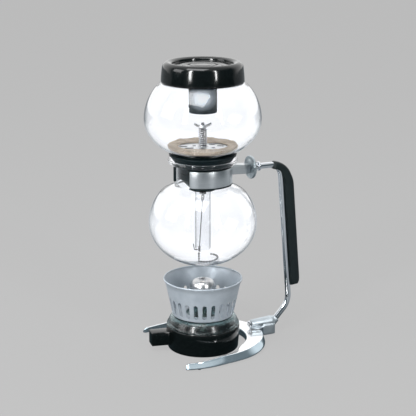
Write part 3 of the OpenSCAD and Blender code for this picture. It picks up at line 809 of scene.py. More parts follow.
def lug_piece():
    """Cast socket: block, flange, barrel, ball and rod neck melted into one smooth casting."""
    top = BASE_HI.z
    flange = lathe("flange", [(0.01, 0), (7.9, 0), (8.3, 0.5), (7.9, 1.2), (6.4, 1.9), (0.01, 2.2)],
                   48, False)
    barrel = lathe("barrel", [(0.01, 0), (4.4, 0), (5.0, 0.6), (6.0, 14), (6.6, 28), (0.01, 28)], 48, False)
    half_circle = [(max(0.01, 6.4 * math.cos(rad(a))), 6.4 * math.sin(rad(a))) for a in range(-90, 91, 10)]
    ball = lathe("ball", half_circle, 48, False)
    neck = lathe("neck", [(0.01, 0), (4.9, 0), (4.9, 9.4), (0.01, 9.4)], 48, False)
    parts = [
        box_mesh("block", (76.8, -7.4, 0.9), (93.2, 7.4, 14.5), 1.6),
        place(flange, at(71.0, 0, top + 0.3)),
        box_mesh("web", (68.5, -3.8, top + 0.6), (90, 3.8, 15.0), 1.2),
        place(barrel, at(62.4, 0, 15.7) @ tipped(90, "Y")),
        place(ball, at(90, 0, 15.6)),
        place(neck, at(90.6, 0, 11.9) @ tipped(43, "Y")),
    ]
    piece = join("cast_socket", *parts)
    remesh = piece.modifiers.new("melt", "REMESH")
    remesh.mode = "VOXEL"
    remesh.voxel_size = 0.5 * MM
    smooth = piece.modifiers.new("soften", "SMOOTH")
    smooth.factor = 0.6
    smooth.iterations = 7
    apply_modifiers(piece)
    for polygon in piece.data.polygons:
        polygon.use_smooth = True
    return finish_piece(piece, "cast_grey", "stand", "cast_grey", "stand_lug")


def cross_screw(name, head_r, head_h, shaft_l):
    """Pan-head screw with a cross recess; its head points along +z and its seat is at z = 0."""
    shaft_r = 2.0
    profile = ([(0.01, -shaft_l), (shaft_r * 0.8, -shaft_l), (shaft_r, -shaft_l + 0.4)]
               + [(shaft_r, 0), (head_r, 0)]
               + arc(head_r - 0.8, head_h - 0.9, 0.8, 0, 70, 5)
               + [(head_r * 0.45, head_h), (0.01, head_h)])
    body = lathe(name, profile, 48, False)
    reach = head_r * 0.62
    for turn in (20, 110):
        cutter = box_mesh("cutter", (-reach, -0.5, head_h - 1.1), (reach, 0.5, head_h + 1), 0.15, 2)
        subtract(body, place(cutter, around(turn)))
    return body


def screw_pieces():
    in_socket = at(LUG_LO.x - 0.02, 0, 15.7) @ tipped(-90, "Y")
    in_arms = at(46.5, 5.02, ROD_TOP_Z) @ tipped(-90, "X")
    under_foot = at(70, 0, 3.0) @ tipped(180, "X")
    for name, head_r, head_h, shaft_l, seat, look, node in (
            ("socket_screw", 4.2, 2.0, 9.5, in_socket, "chrome", "lug_screw"),
            ("clamp_cross_screw", 3.8, 2.0, 8.6, in_arms, "chrome", "clamp_screw"),
            ("foot_screw", 3.7, 1.7, 10.6, under_foot, "steel", "base_screw")):
        screw = place(cross_screw(name, head_r, head_h, shaft_l), seat)
        finish_piece(screw, look, "stand", look, node)


def tip_flare(a):
    return max(0.0, (abs(a) - 88) / 40) ** 1.3


def base_inner(a):
    return 51.5 + 8.5 * ease((abs(a) - 54) / 32) + 17 * tip_flare(a)


def base_outer(a):
    return 67.8 + 7.2 * max(0.0, 1 - (abs(a) / 75) ** 1.5) + 15.5 * tip_flare(a)


CREST = ((0, 73.4), (9.5, 73.0), (23, 70.9), (38, 68.1), (50, 65.8), (69, 64.6), (83, 64.4), (98, 65.0))


def base_crest(a):
    """Radius where the flat top turns down into the outer wall."""
    a = abs(a)
    for (a0, r0), (a1, r1) in zip(CREST, CREST[1:]):
        if a <= a1:
            return r0 + (r1 - r0) * (a - a0) / (a1 - a0)
    return base_inner(a) + 2.4


def base_piece():
    """Chromed horseshoe: a flat top near the handle with a crisp edge, a rounded slope outside, thin tips."""
    foot = BASE_LO.z
    tip = 126.0
    steps = 168

    def section(a, scale):
        inner, outer = base_inner(a), base_outer(a)
        mid = (inner + outer) / 2
        height = (BASE_HI.z - foot) * (1 - 0.30 * ease((abs(a) - 84) / 40))
        crest = max(min(base_crest(a), outer - 1.6), inner + 2.4)
        points = [(inner + 0.7, foot), (inner, foot + 0.8)]
        points += arc(inner + 1.1, foot + height - 1.1, 1.1, 180, 95, 4)
        points += [(inner + 1.3, foot + height), (crest - 0.9, foot + height)]
        points += curve((crest - 0.5, foot + height - 0.02), (crest, foot + height - 0.1),
                        (crest + 0.15, foot + height - 0.3), (crest + 0.4, foot + height - 0.8), 5)
        points += curve((crest + (outer - crest) * 0.30, foot + height * 0.74),
                        (crest + (outer - crest) * 0.60, foot + height * 0.50),
                        (crest + (outer - crest) * 0.92, foot + height * 0.30), (outer, foot + 1.5), 6)
        points += [(outer, foot + 0.8), (outer - 0.7, foot)]
        ring = []
        for r, z in points:
            rr = mid + (r - mid) * scale
            zz = foot + (z - foot) * (0.45 + 0.55 * scale)
            ring.append((rr * math.cos(rad(a)), rr * math.sin(rad(a)), zz))
        return ring

    rounding = math.degrees((base_outer(tip) - base_inner(tip)) / 2 / base_inner(tip))
    ends = [math.sin(rad(9 * i)) for i in range(10)]
    sections = [section(-tip - rounding * math.sqrt(1 - t * t), max(0.08, t)) for t in ends]
    sections += [section(-tip + 2 * tip * i / steps, 1) for i in range(steps + 1)]
    sections += [section(tip + rounding * math.sqrt(1 - t * t), max(0.08, t)) for t in ends[::-1]]
    piece = loft("horseshoe_foot", sections, 28)
    # The foot's look carries a painted reflection: walls painted blue-grey, the flat top painted near white.
    return finish_piece(piece, "foot_chrome_painted_reflection", "stand", "chrome", "stand_base")


# ---------------------------------------------------------------- filter, springs and chain

def helix(r, z0, z1, turns, per_turn):
    """Coil path whose first and last turns lie flatter."""
    points = []
    count = int(turns * per_turn)
    for i in range(count + 1):
        t = i / count
        rise = ease(t) * 0.12 + t * 0.88
        a = TURN * turns * t
        points.append((r * math.cos(a), r * math.sin(a), z0 + (z1 - z0) * rise))
    return points


def blend_piece(piece, node):
    """A dark steel piece that hangs between the upper chamber and the pulled chain; its placement is baked into
    its mesh and its CAD node is hidden.
    """
    piece.data.materials.clear()
    piece.data.materials.append(LOOKS["dark_steel"])
    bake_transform(piece)
    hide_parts(node)
    return piece


def spring_pieces():
    wire = 0.78
    r = (SPRING_HI.x - SPRING_LO.x) / 2 - wire
    coil = sweep("post_spring", helix(r, SPRING_LO.z + wire, SPRING_HI.z - wire, 8.5, 28), wire, 10)
    finish_piece(coil, "steel", "upper_chamber", "steel", "filter_spring")
    wire = 0.45
    r = (PULL_HI.x - PULL_LO.x) / 2 - wire
    path = helix(r, PULL_HI.z - 1.0, PULL_LO.z + 0.8, 30, 24)
    hook = [(r * 0.75, 0.6, PULL_LO.z + 0.2), (r * 0.2, 0.9, PULL_LO.z - 0.4), (-0.5, 0.6, PULL_LO.z - 1.6),
            (-0.2, 0.0, PULL_LO.z - 2.6), (0.5, -0.8, PULL_LO.z - 2.0), (0.7, -0.9, PULL_LO.z - 0.7)]
    coil = sweep("stem_pull_spring", path + hook, wire, 8)
    return blend_piece(coil, "stem_spring")


def post_piece():
    """Threaded post with a seat flange."""
    lo, hi = size("filter_post")
    profile = [(0.01, lo.z), (1.6, lo.z), (2.0, lo.z + 0.4), (2.0, lo.z + 2.0), (4.2, lo.z + 2.0),
               (4.6, lo.z + 2.4), (4.6, lo.z + 4.8), (4.3, lo.z + 5.2), (2.0, lo.z + 5.2)]
    z = lo.z + 8.0
    pitch = 0.8
    while z < hi.z - 1.2:
        profile += [(1.97, z), (1.66, z + pitch / 2)]
        z += pitch
    profile += [(1.9, hi.z - 0.5), (1.5, hi.z), (0.01, hi.z)]
    piece = lathe("threaded_post", profile, 40, False, 60)
    # Dark steel on the post is partly its own finish and partly painted shade for the gaps between the spring's
    # coils.
    return finish_piece(piece, "dark_steel", "upper_chamber", "steel", "filter_post")


def washer_piece():
    lo, hi = size("filter_washer")
    profile = ([(2.05, lo.z)] + arc(5.8, lo.z + 0.4, 0.4, -90, 0, 3) + [(6.2, lo.z + 0.7), (5.3, lo.z + 0.95),
               (5.15, hi.z - 0.2), (4.9, hi.z), (2.05, hi.z)])
    piece = lathe("post_washer", profile, 64)
    return finish_piece(piece, "steel", "upper_chamber", "steel", "filter_washer")


def wing_nut_piece():
    """Wing nut: a waisted hub and two rounded wings."""
    z = size("wing_nut")[0].z
    hub = lathe("hub", [(2.05, z), (4.2, z), (4.5, z + 0.4), (3.9, z + 1.6), (3.5, z + 3.0), (3.2, z + 3.5),
                        (2.05, z + 3.5)], 48)
    shells = [hub]
    for turn in (0, 180):
        outline = ([(2.8, z + 0.6)] + curve((4.0, z + 0.7), (6.2, z + 0.9), (8.4, z + 1.8), (9.6, z + 3.0), 6)
                   + arc(9.0, z + 4.5, 1.15, -30, 130, 6)
                   + curve((7.2, z + 4.8), (5.8, z + 4.2), (4.6, z + 3.4), (2.8, z + 3.2), 5))
        centre = (sum(p[0] for p in outline) / len(outline), sum(p[1] for p in outline) / len(outline))
        sections = []
        for y, shrink in ((-0.8, 0.80), (-0.65, 0.93), (-0.35, 1.0), (0.35, 1.0), (0.65, 0.93), (0.8, 0.80)):
            sections.append([(centre[0] + (px - centre[0]) * shrink, y, centre[1] + (pz - centre[1]) * shrink)
                             for px, pz in outline])
        shells.append(place(loft("wing", sections, 60), around(turn)))
    piece = join("wing_nut_turned", *shells)
    place(piece, around(VIEW_TURN + 8))
    return finish_piece(piece, "bright_plate", "wing_nut", "steel", "wing_nut")


def cloth_pieces():
    """Filter cloth drawn round the plate: flat under it, gathered in folds over the rim, with a drawn hem."""
    foot, top = CLOTH_LO.z, CLOTH_HI.z
    outer = (CLOTH_HI.x - CLOTH_LO.x) / 2 - 0.5
    hem = 23.5
    profile = [(2.6, foot + 0.45), (12, foot + 0.45), (24, foot + 0.45), (33.5, foot + 0.5)]
    shoulder = ((34.6, foot + 0.6), (38.2, foot + 0.9), (outer - 0.4, foot + 1.8), (outer, foot + 3.0))
    profile += curve(*shoulder, 6)
    profile += curve((outer + 0.2, top - 0.4), (outer - 0.6, top + 0.25), (outer - 3, top - 0.15),
                     (hem + 2, top - 0.7), 8)
    profile += [(hem + 0.8, top - 0.95), (hem, top - 1.2)]

    def gather(a, r, z):
        over = ease((z - foot - 1.2) / 2.0)
        near_hem = ease((outer - r) / (outer - hem)) if over > 0 else 0
        fold = (math.sin(46 * a + 0.8 * math.sin(3 * a)) * 0.5 + math.sin(17 * a + 1.3) * 0.35
                + math.sin(29 * a + 2.1 * math.sin(5 * a)) * 0.3)
        ragged = math.sin(7 * a + 0.6) + 0.7 * math.sin(13 * a + 2.2) + 0.5 * math.sin(24 * a)
        rise = over * (1 - near_hem) ** 2 * (0.45 + 0.30 * ragged)
        oval = 5.5 * math.cos(2 * (a - rad(VIEW_TURN))) * over * near_hem
        return (r + over * (1 - near_hem) * ragged * 0.22 + over * near_hem * 0.5 * fold + oval,
                z + over * 0.20 * fold + rise)

    cloth = lathe("filter_cloth_sheet", profile, 276, False, 80, gather)
    thicken(cloth, 0.45, 0)
    finish_piece(cloth, "filter_cloth", "upper_chamber", "filter_cloth", "filter_cloth")
    line = []
    for i in range(240):
        a = TURN * i / 240
        q = hem - 0.25 + 5.5 * math.cos(2 * (a - rad(VIEW_TURN))) + 0.18 * math.sin(40 * a)
        line.append((q * math.cos(a), q * math.sin(a), top - 1.15 + 0.12 * math.sin(23 * a)))
    cord = sweep("hem_thread", line, 0.42, 8, True)
    finish_piece(cord, "filter_cloth", "upper_chamber", "filter_cloth")
    return cloth


def plate_piece():
    """Pressed filter plate: bright, slightly domed, with two groups of short shallow slots whose walls and
    floors are painted dark as painted shadow.
    """
    lo, hi = size("filter_plate")
    r, z0, z1 = (hi.x - lo.x) / 2, lo.z, hi.z

    def dome(radius):
        return 0.55 * (1 - (radius / 26) ** 2) if radius < 26 else 0.0

    radii = [2.1, 4, 6, 8, 10, 12, 14, 16, 18, 20, 22, 24, 26, 30, 34]
    profile = ([(q, z1 + dome(q)) for q in radii] + arc(r - 0.5, z1 - 0.5, 0.5, 90, -90, 6)
               + [(q, z0 + dome(q)) for q in radii[::-1]])
    plate = lathe("filter_plate_pressed", profile, 120, True, 50)
    shapes = []
    half = 2.1
    for x0, x1, y in ((-27, -17.5, 0), (-20.5, -10, -8.5), (-12, -7.6, 3),
                      (7, 14.5, 9.5), (16, 24.5, 3.5), (9.8, 14.2, -7)):
        foot = z1 + dome(math.hypot((x0 + x1) / 2, y)) - 0.5
        ring = arc(x0 + half, y, half, 90, 270, 6) + arc(x1 - half, y, half, -90, 90, 6)
        cutter = prism([(x, y, foot) for x, y in ring], [(x, y, z1 + 3) for x, y in ring])
        shapes.append(place(cutter, around(VIEW_TURN)))
    subtract(plate, join("cutter", *shapes))
    finish_piece(plate, "bright_plate", "upper_chamber", "steel", "filter_plate")
    # Painted shadow: the slot walls and floors get the black rubber material, so the slots read as dark shaded
    # gaps.
    plate.data.materials.append(LOOKS["black_rubber"])
    for polygon in plate.data.polygons:
        q = math.hypot(polygon.center.x, polygon.center.y) / MM
        if q < 31 and z0 + dome(q) + 0.1 < polygon.center.z / MM < z1 + dome(q) - 0.1:
            polygon.material_index = 1
    return plate


FLOOR_R, FLOOR_DROP = 60.9, 48.8
WIRE_FOOT = Vector((-3.9, -0.3, 116.6))
CURL = (4.4, 4.5, 12.8)


def curl_point(i, count=14):
    """Centre of a bead in the curl that lies on the lower bowl's floor, before the turn to the view."""
    a = rad(-135 + 200 * i / (count - 1))
    x, y = CURL[0] + CURL[2] * math.cos(a), CURL[1] + CURL[2] * math.sin(a)
    d = math.hypot(x, y)
    return Vector((x, y, LOWER_EGG[0] - FLOOR_DROP * math.sqrt(1 - (d / FLOOR_R) ** 2) + 1.45))


def chain_piece():
    """Ball chain: balls and the short links between them."""
    bead_r = 1.3
    beads = [curl_point(i) for i in range(14)]
    beads = [beads[0] + Vector((0, 0, 3.1 * k)) for k in (3, 2, 1)] + beads
    shells = []
    for centre in beads:
        ball = lathe("ball", [(max(0.01, bead_r * math.cos(rad(a))), bead_r * math.sin(rad(a)))
                              for a in range(-90, 91, 15)], 20, False, 80)
        shells.append(place(ball, at(*centre)))
    ends = [WIRE_FOOT, beads[0] + Vector((0, 0, 1.9))] + beads
    for a, b in zip(ends, ends[1:]):
        shells.append(sweep("link", [a, (a + b) / 2, b], 0.34, 8))
    piece = join("ball_chain", *shells)
    place(piece, around(VIEW_TURN))
    return blend_piece(piece, "bead_chain")


def wire_pieces():
    """Long eye under the spring, leaning wire with small eyes, and the spring clip on the stem's edge."""
    lo, hi = size("pull_ring")
    middle, reach, wide = (lo.z + hi.z) / 2, (hi.z - lo.z) / 2 - 0.6, 1.2
    loop = ([(wide * math.cos(rad(a)), 0, middle + reach - wide + wide * math.sin(rad(a)))
             for a in range(0, 181, 18)]
            + [(wide * math.cos(rad(a)), 0, middle - reach + wide + wide * math.sin(rad(a)))
               for a in range(180, 361, 18)])
    ring = place(sweep("pull_ring_wire", loop, 0.55, 12, True), around(VIEW_TURN))
    finish_piece(ring, "dark_steel", "pull_chain", "steel", "pull_ring")
    eye_z = lo.z - 0.5
    path = [(-0.3 + 1.25 * math.cos(rad(a)), 0.1 * (250 - a) / 330, eye_z + 1.25 * math.sin(rad(a)))
            for a in range(250, -80, -22)]
    top = Vector((-0.7, 0, eye_z - 1.9))
    low = Vector((-4.0, 0, 119.6))
    path += [tuple(top.lerp(low, i / 14)) for i in range(15)]
    path += [(-4.3, 0, 118.2), (-5.0, 0, 117.5), (-6.5, 0, 117.35)]
    clip = [(-8.4, 0, 117.35), (-9.6, 0, 117.6), (-10.15, 0, 118.6), (-10.3, 0, 120.2), (-10.7, 0, 122.4),
            (-11.3, 0, 124.4)]
    wire = place(sweep("pull_wire_and_clip", path + clip, 0.55, 12), around(VIEW_TURN))
    finish_piece(wire, "dark_steel", "pull_chain", "steel", "pull_wire", "rim_hook")
    turns = helix(1.15, 121.6, 115.6, 4, 16)
    lash = sweep("wire_lashing", [(x - 3.9, y, z) for x, y, z in turns], 0.42, 8)
    place(lash, around(VIEW_TURN))
    finish_piece(lash, "dark_steel", "pull_chain", "steel")


# ---------------------------------------------------------------- lid

def lid_pieces():
    r = (LID_HI.x - LID_LO.x) / 2
    top = LID_HI.z
    floor, under, foot = top - 4.2, TUBE_HI.z, 314.2
    tr = (TUBE_HI.x - TUBE_LO.x) / 2
    profile = (
        [(r - 0.5, foot), (r, foot + 0.5), (r, foot + 1.6)]
        + curve((r - 0.05, foot + 3), (r - 0.3, foot + 8), (r - 0.9, top - 9), (r - 1.3, top - 6.4), 8)
        + curve((r - 1.5, top - 5.2), (r - 2.2, top - 2.0), (r - 4.4, top - 0.5), (r - 6.6, top), 9)
        + curve((r - 7.6, top + 0.05), (38.0, top - 0.1), (36.4, top - 0.6), (35.4, top - 1.2), 6)
        + curve((34.8, top - 1.6), (34.5, top - 2.0), (34.4, top - 2.6), (34.3, floor + 0.9), 4)
        + arc(33.7, floor + 0.6, 0.6, 0, -90, 3)
        + [(30.5, floor), (29.8, floor + 0.3), (22, floor + 0.15), (21.4, floor - 0.1), (15.6, floor - 0.05)]
        + curve((14.8, floor + 0.3), (13.8, floor + 1.0), (12.6, floor + 0.9), (11.5, floor + 0.45), 6)
        + curve((10.6, floor + 0.4), (9.8, floor + 0.9), (8.0, floor + 1.1), (0.01, floor + 1.1), 6)
        + [(0.01, under), (38.5, under), (40.8, under - 2.6), (40.8, 312.9), (41.1, 312.6), (42.5, 312.6),
           (42.8, 312.9), (42.8, 318), (r - 0.9, 317.4), (r - 0.9, foot + 0.2)]
    )
    cap = lathe("lid_shell", profile, 160, True, 50)
    finish_piece(cap, "gloss_black", "lid", "gloss_black", "lid_cap")
    lo, hi = size("lid_collar")
    r0, r1 = tr + 0.03, (hi.x - lo.x) / 2
    mid, half = (r0 + r1) / 2, (r1 - r0) / 2
    profile = arc(mid, lo.z + half, half, 180, 360, 8) + [(r1, hi.z - 3.0), (r1 - 0.2, hi.z), (r0, hi.z)]
    finish_piece(lathe("lid_socket_collar", profile, 96, True, 50), "gloss_black", "lid", "gloss_black",
                 "lid_collar")
    profile = ([(tr - 1.6, TUBE_LO.z + 0.8)] + arc(tr - 0.8, TUBE_LO.z + 0.8, 0.8, 180, 360, 8)
               + [(tr, TUBE_LO.z + 6), (tr, TUBE_HI.z), (tr - 1.6, TUBE_HI.z)])
    tube = lathe("lid_stem_socket", profile, 128, True, 50)
    # The tube's look carries a painted highlight and painted shade.
    finish_piece(tube, "tube_grey", "lid", "tube_grey", "lid_tube")


# ---------------------------------------------------------------- burner

def burner_pieces():
    r = BURNER_R
    top = BURNER_HI.z
    profile = (
        [(0.01, 0.6), (30, 0.6), (31, 0.0), (r - 3.6, 0.0)] + arc(r - 2.6, 1.2, 1.2, -90, -10, 5)
        + [(r - 1.1, 6), (r - 0.4, 14), (r, 21)] + arc(r - 0.9, top - 0.9, 0.9, 0, 90, 5)
        + [(r - 2.2, top), (r - 2.55, top - 0.4), (r - 2.6, 3.2), (0.01, 3.0)]
    )
    shell = lathe("burner_shell", profile, 160, False, 50)
    tail = box_mesh("tail", (r - 3.5, -7.8, 6.8), (r + 20 + 1.0, 7.8, BLOCK_TOP_Z), 1.4, 4)
    for vertex in tail.data.vertices:
        pull = (vertex.co.x / MM - r) / 20
        vertex.co.y *= 1 - 0.06 * pull
        vertex.co.z += 0.4 * MM * pull
    place(tail, around(171.5))
    piece = join("burner_body", shell, tail)
    finish_piece(piece, "gloss_black", "burner", "gloss_black", "burner_base")

    shoulder = top + 0.12
    outside = ([(0.01, 3.2), (38.0, 3.2)] + arc(38.6, 5.0, 1.6, -80, 0, 4) + [(40.2, shoulder - 0.3)]
               + [(41.2, shoulder), (42.4, shoulder + 0.1)] + arc(42.0, shoulder + 0.9, 0.6, -40, 60, 4)
               + curve((41.6, shoulder + 2.4), (40.2, shoulder + 6.0), (38.4, 37.6), (36.0, 39.3), 8)
               + curve((34.6, 40.0), (30, 40.15), (22, 40.1), (19, 40.2), 5)
               + curve((17.2, 40.8), (15.2, 42.4), (14.3, 45), (14.2, 48), 6) + [(14.2, 67.4), (13.8, 67.9)])
    inside = ([(12.6, 67.9), (12.2, 67.4), (12.2, 47)]
              + curve((12.4, 44), (13.2, 40.4), (15.6, 38.4), (19, 38.1), 6)
              + curve((24, 37.9), (31, 38.0), (35, 37.4), (37.6, 33.4), 6)
              + [(38.4, 29.6), (38.2, 27), (38.2, 6.4)]
              + arc(36.8, 6.5, 1.4, 0, -90, 4) + [(0.01, 5.1)])
    bottle = lathe("spirit_bottle", outside + inside, 144, False, 60)
    finish_piece(bottle, "green_glass", "burner", "green_glass", "fuel_bottle")

    lo, hi = size("bottle_seal")
    profile = [(6.2, lo.z)] + arc(13.2, lo.z + 0.6, 0.6, -90, 90, 6) + [(6.2, hi.z)]
    finish_piece(lathe("mouth_seal", profile, 72), "black_rubber", "burner", "black_rubber", "bottle_seal")


def wick_pieces():
    rim = (DISH_HI.x - DISH_LO.x) / 2
    z = DISH_HI.z
    profile = (
        [(3.1, DISH_LO.z), (4.3, DISH_LO.z), (4.6, DISH_LO.z + 0.4), (4.6, 69.2), (rim - 0.4, 69.2)]
        + arc(rim - 0.4, 70.2, 1.0, -90, 0, 4) + [(rim + 0.5, 72.0)]
        + curve((rim + 0.3, 73.6), (rim - 0.6, 77.6), (rim - 2.6, z - 0.2), (rim - 4.8, z), 9)
        + curve((rim - 5.8, z), (7.2, z - 0.9), (5.4, z - 2.6), (4.2, z - 2.8), 8)
        + [(3.7, z - 2.7), (3.3, z - 2.9), (3.12, z - 3.3)]
    )
    dish = lathe("wick_dish", profile, 96, True, 60)
    finish_piece(dish, "satin_steel", "wick_holder", "steel", "wick_holder")

    lo, hi = size("wick")

    def braid(a, r, zz):
        return r - 0.22 * (0.5 + 0.5 * math.sin(6 * a + zz * 2.4) * math.sin(6 * a - zz * 2.4)), zz

    steps = 150
    profile = [(0.01, lo.z), (2.6, lo.z)] + [(3.0, lo.z + 0.3 + (hi.z - lo.z - 0.9) * i / steps)
                                            for i in range(steps + 1)] + [(2.4, hi.z - 0.1), (0.01, hi.z - 0.4)]
    wick = lathe("braided_wick", profile, 60, False, 80, braid)
    finish_piece(wick, "wick_cotton", "wick", "wick_cotton", "wick")


def windscreen_piece():
    """Painted cup with a rolled rim and air slots cut through its wall."""
    foot, rim_z = SCREEN_LO.z, SCREEN_HI.z
    rim_r, foot_r, bead, wall = 46.2, 36.0, 0.85, 1.0
    outside = [(20, foot), (foot_r - 1.6, foot)] + arc(foot_r - 1.3, foot + 1.4, 1.4, -80, -12, 4)
    low, high = (foot_r + 0.15, foot + 2.0), (rim_r - 3.0, rim_z - 8.5)
    outside += [(low[0] + (high[0] - low[0]) * i / 12, low[1] + (high[1] - low[1]) * i / 12)
                for i in range(12)]
    flare = ((rim_r - 2.4, rim_z - 5.6), (rim_r - 1.4, rim_z - 3.6), (rim_r - 0.4, rim_z - 2.0))
    outside += curve(high, *flare, 7)
    walls = outside[6:]
    outside += arc(rim_r - bead, rim_z - bead, bead, -30, 190, 9)
    inside = [(x - wall, z + 0.25) for x, z in walls][::-1]
    inside += [(foot_r - 1.6, foot + wall + 0.2), (20, foot + wall)]
    cup = lathe("windscreen_cup", outside + inside, 176, True, 50)
    first, count = -111.95, 24
    half, slot_foot, slot_top = 2.5, 44.3, 62.3
    outline = (arc(0, slot_top - half, half, 0, 180, 10) + arc(0, slot_foot + half, half, 180, 360, 10))
    cutters = []
    for k in range(count):
        cutter = prism([(30, u, v) for u, v in outline], [(50, u, v) for u, v in outline])
        cutters.append(place(cutter, around(first + 360 * k / count)))
    subtract(cup, join("cutter", *cutters))
    bm = bmesh.new()
    bm.from_mesh(cup.data)
    shade(bm, 40)
    bm.to_mesh(cup.data)
    bm.free()
    return finish_piece(cup, "windscreen_paint", "windscreen", "windscreen_paint", "windscreen")


def pad_piece():
    pads = []
    for a in (-118, -24, 24, 118):
        mid = (base_inner(a) + base_outer(a)) / 2
        pad = lathe("pad", [(0.01, 0), (2.0, 0), (2.4, 0.4), (2.4, 2.0), (0.01, 2.0)], 32, False)
        pads.append(place(pad, at(mid * math.cos(rad(a)), mid * math.sin(rad(a)), 0)))
    return finish_piece(join("soft_pads", *pads), "black_rubber", "stand", "black_rubber", "base_pads")


# ---------------------------------------------------------------- build everything

for build in (upper_bowl_piece, lower_bowl_piece, level_marks_piece, gasket_piece, jaw_pieces, liner_piece,
              knob_piece, collar_piece, rod_piece, grip_piece, lug_piece, screw_pieces, base_piece, pad_piece,
              spring_pieces, post_piece, washer_piece, wing_nut_piece, cloth_pieces, plate_piece, chain_piece,
              wire_pieces, lid_pieces, burner_pieces, wick_pieces, windscreen_piece):
    build()

# ---------------------------------------------------------------- stage, light and camera

def smooth_range(tree, value, low, high):
    """0 below low, 1 above high, smooth between."""
    node = tree.nodes.new("ShaderNodeMapRange")
    node.interpolation_type = "SMOOTHSTEP"
    node.inputs["From Min"].default_value = low
    node.inputs["From Max"].default_value = high
    tree.links.new(value, node.inputs["Value"])
    return node.outputs["Result"]


def bright_zone(tree, angle, centre, half, soft):
    """1 where an angle is within half of a centre, all in degrees, falling to 0 over soft."""
    off = node_math(tree, "ABSOLUTE", node_math(tree, "SUBTRACT", angle, rad(centre)))
    return node_math(tree, "SUBTRACT", 1.0, smooth_range(tree, off, rad(half), rad(half + soft)))


def view_axes(tree, vector):
    """Parts of a vector to the right of, and away from, the camera, and its height."""
    split = tree.nodes.new("ShaderNodeSeparateXYZ")
    tree.links.new(vector, split.inputs["Vector"])
    x, y = split.outputs["X"], split.outputs["Y"]
    turn = rad(VIEW_TURN)
    across = node_math(tree, "ADD", node_math(tree, "MULTIPLY", x, math.cos(turn)),
                       node_math(tree, "MULTIPLY", y, math.sin(turn)))
    away = node_math(tree, "SUBTRACT", node_math(tree, "MULTIPLY", y, math.cos(turn)),
                     node_math(tree, "MULTIPLY", x, math.sin(turn)))
    return across, away, split.outputs["Z"]


def two_colours(tree, amount, dark, light):
    ramp = tree.nodes.new("ShaderNodeValToRGB")
    ramp.color_ramp.elements[0].color = (*dark, 1)
    ramp.color_ramp.elements[1].color = (*light, 1)
    tree.links.new(amount, ramp.inputs["Fac"])
    return ramp.outputs["Color"]


def floor_mirror(tree, vector):
    """How bright shiny pieces find the floor, 0 to 1: dark at the foot and far in front, two bright zones."""
    across, away = view_axes(tree, vector)[:2]
    reach = node_math(tree, "SQRT", node_math(tree, "ADD", node_math(tree, "MULTIPLY", across, across),
                                              node_math(tree, "MULTIPLY", away, away)))
    near = node_math(tree, "MULTIPLY", smooth_range(tree, reach, 0.10, 0.22),
                     node_math(tree, "SUBTRACT", 1.0, smooth_range(tree, reach, 0.9, 1.5)))
    angle = node_math(tree, "ARCTAN2", across, node_math(tree, "MULTIPLY", away, -1.0))
    zones = node_math(tree, "ADD", bright_zone(tree, angle, -36, 7, 12), bright_zone(tree, angle, 36, 3, 6))
    behind = smooth_range(tree, away, 0.1, 0.5)
    amount = node_math(tree, "ADD", node_math(tree, "MULTIPLY", near, 0.32),
                       node_math(tree, "MULTIPLY", node_math(tree, "MULTIPLY", zones, near), 0.32))
    return node_math(tree, "ADD", amount, node_math(tree, "MULTIPLY", behind, 0.25), True)


def stage_floor():
    """A wide pale floor. Mirrored, it is darker in front; straight through glass it is white."""
    mesh = bpy.data.meshes.new("floor")
    half = 14.0
    corners = [(-half, -half, 0), (half, -half, 0), (half, half, 0), (-half, half, 0)]
    mesh.from_pydata(corners, [], [(0, 1, 2, 3)])
    floor = bpy.data.objects.new("floor", mesh)
    bpy.context.scene.collection.objects.link(floor)
    material = bpy.data.materials.new("floor_grey")
    material.use_nodes = True
    tree = material.node_tree
    shader = tree.nodes["Principled BSDF"]
    shader.inputs["Base Color"].default_value = (FLOOR_GREY, FLOOR_GREY, FLOOR_GREY, 1)
    shader.inputs["Roughness"].default_value = 0.9
    shader.inputs["Specular IOR Level"].default_value = 0.0
    shader.inputs["Emission Color"].default_value = (1, 1, 1, 1)
    shader.inputs["Emission Strength"].default_value = FLOOR_GLOW
    coords = tree.nodes.new("ShaderNodeTexCoord")
    amount = floor_mirror(tree, coords.outputs["Object"])
    mirror = tree.nodes.new("ShaderNodeEmission")
    tint = two_colours(tree, amount, (0.030, 0.048, 0.056), (1.0, 1.04, 1.08))
    tree.links.new(tint, mirror.inputs["Color"])
    glow = tree.nodes.new("ShaderNodeEmission")
    glow.inputs["Color"].default_value = (0.968, 0.979, 1.0, 1)
    glow.inputs["Strength"].default_value = GLASS_GLOW
    light_path = tree.nodes.new("ShaderNodeLightPath")
    straight = tree.nodes.new("ShaderNodeMixShader")
    tree.links.new(light_path.outputs["Is Transmission Ray"], straight.inputs["Fac"])
    tree.links.new(shader.outputs["BSDF"], straight.inputs[1])
    tree.links.new(glow.outputs["Emission"], straight.inputs[2])
    mirrored = tree.nodes.new("ShaderNodeMixShader")
    bounced = node_math(tree, "GREATER_THAN", light_path.outputs["Glossy Depth"], 0.5)
    tree.links.new(bounced, mirrored.inputs["Fac"])
    tree.links.new(straight.outputs["Shader"], mirrored.inputs[1])
    tree.links.new(mirror.outputs["Emission"], mirrored.inputs[2])
    tree.links.new(mirrored.outputs["Shader"], tree.nodes["Material Output"].inputs["Surface"])
    floor.data.materials.append(material)


FLOOR_GREY = 0.045
FLOOR_GLOW = 0.464
GLASS_GLOW = 1.18


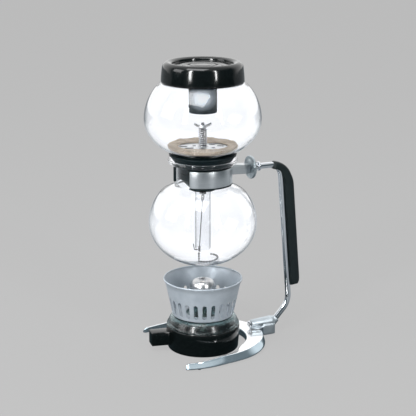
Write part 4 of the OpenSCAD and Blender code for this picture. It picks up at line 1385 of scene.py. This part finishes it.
def area_light(name, place_m, aim_m, width, height, power, colour=(1, 1, 1)):
    data = bpy.data.lights.new(name, "AREA")
    data.shape = "RECTANGLE"
    data.size, data.size_y = width, height
    data.energy = power
    data.color = colour
    lamp = bpy.data.objects.new(name, data)
    lamp.location = place_m
    direction = Vector(aim_m) - Vector(place_m)
    lamp.rotation_euler = direction.to_track_quat("-Z", "Y").to_euler()
    bpy.context.scene.collection.objects.link(lamp)
    return lamp


def view_turned(x, y, z):
    """A point given to the right of, behind and above the object as the camera sees it."""
    return tuple(around(VIEW_TURN) @ Vector((x, y, z)))


def studio():
    """A bright sweep behind, a dark room in front, two upright strip lights and a soft light above."""
    world = bpy.data.worlds.new("studio")
    world.use_nodes = True
    tree = world.node_tree
    background = tree.nodes["Background"]
    coords = tree.nodes.new("ShaderNodeTexCoord")
    away, height = view_axes(tree, coords.outputs["Generated"])[1:]
    behind = smooth_range(tree, away, 0.0, 0.5)
    above = node_math(tree, "MULTIPLY", smooth_range(tree, height, 0.40, 0.85), 0.55)
    amount = node_math(tree, "MAXIMUM", behind, above)
    colour = two_colours(tree, amount, (0.045, 0.065, 0.075), (1.0, 1.0, 1.0))
    tree.links.new(colour, background.inputs["Color"])
    background.inputs["Strength"].default_value = 1.25
    bpy.context.scene.world = world
    aim = view_turned(0, 0, 0.20)
    for name, angle, wide, power in (("key_left", -34, 0.20, 19), ("key_right", 37, 0.11, 11)):
        spot = (1.55 * math.sin(rad(angle)), -1.55 * math.cos(rad(angle)), 0.80)
        area_light(name, view_turned(*spot), aim, wide, 1.0, power)
    fill = (-1.9 * math.cos(rad(15)), -1.9 * math.sin(rad(15)), 1.0)
    area_light("fill_left", view_turned(*fill), aim, 1.0, 1.0, 12)
    area_light("top", view_turned(-0.35, -0.75, 1.75), aim, 1.3, 1.0, 22, (0.98, 0.99, 1.0))
    bpy.context.scene.view_settings.view_transform = "Standard"


def photo_camera():
    """Camera at the photograph's angle: a long lens from the front left, looking down a little."""
    data = bpy.data.cameras.new("camera")
    data.sensor_width = 36
    data.lens = 104.54
    data.clip_end = 60
    camera = bpy.data.objects.new("camera", data)
    camera.location = view_turned(0.0059, -1.339, 0.534)
    camera.rotation_euler = Euler((rad(90 - 15.3), 0, rad(VIEW_TURN)), "XYZ")
    bpy.context.scene.collection.objects.link(camera)
    bpy.context.scene.camera = camera


stage_floor()
studio()
photo_camera()
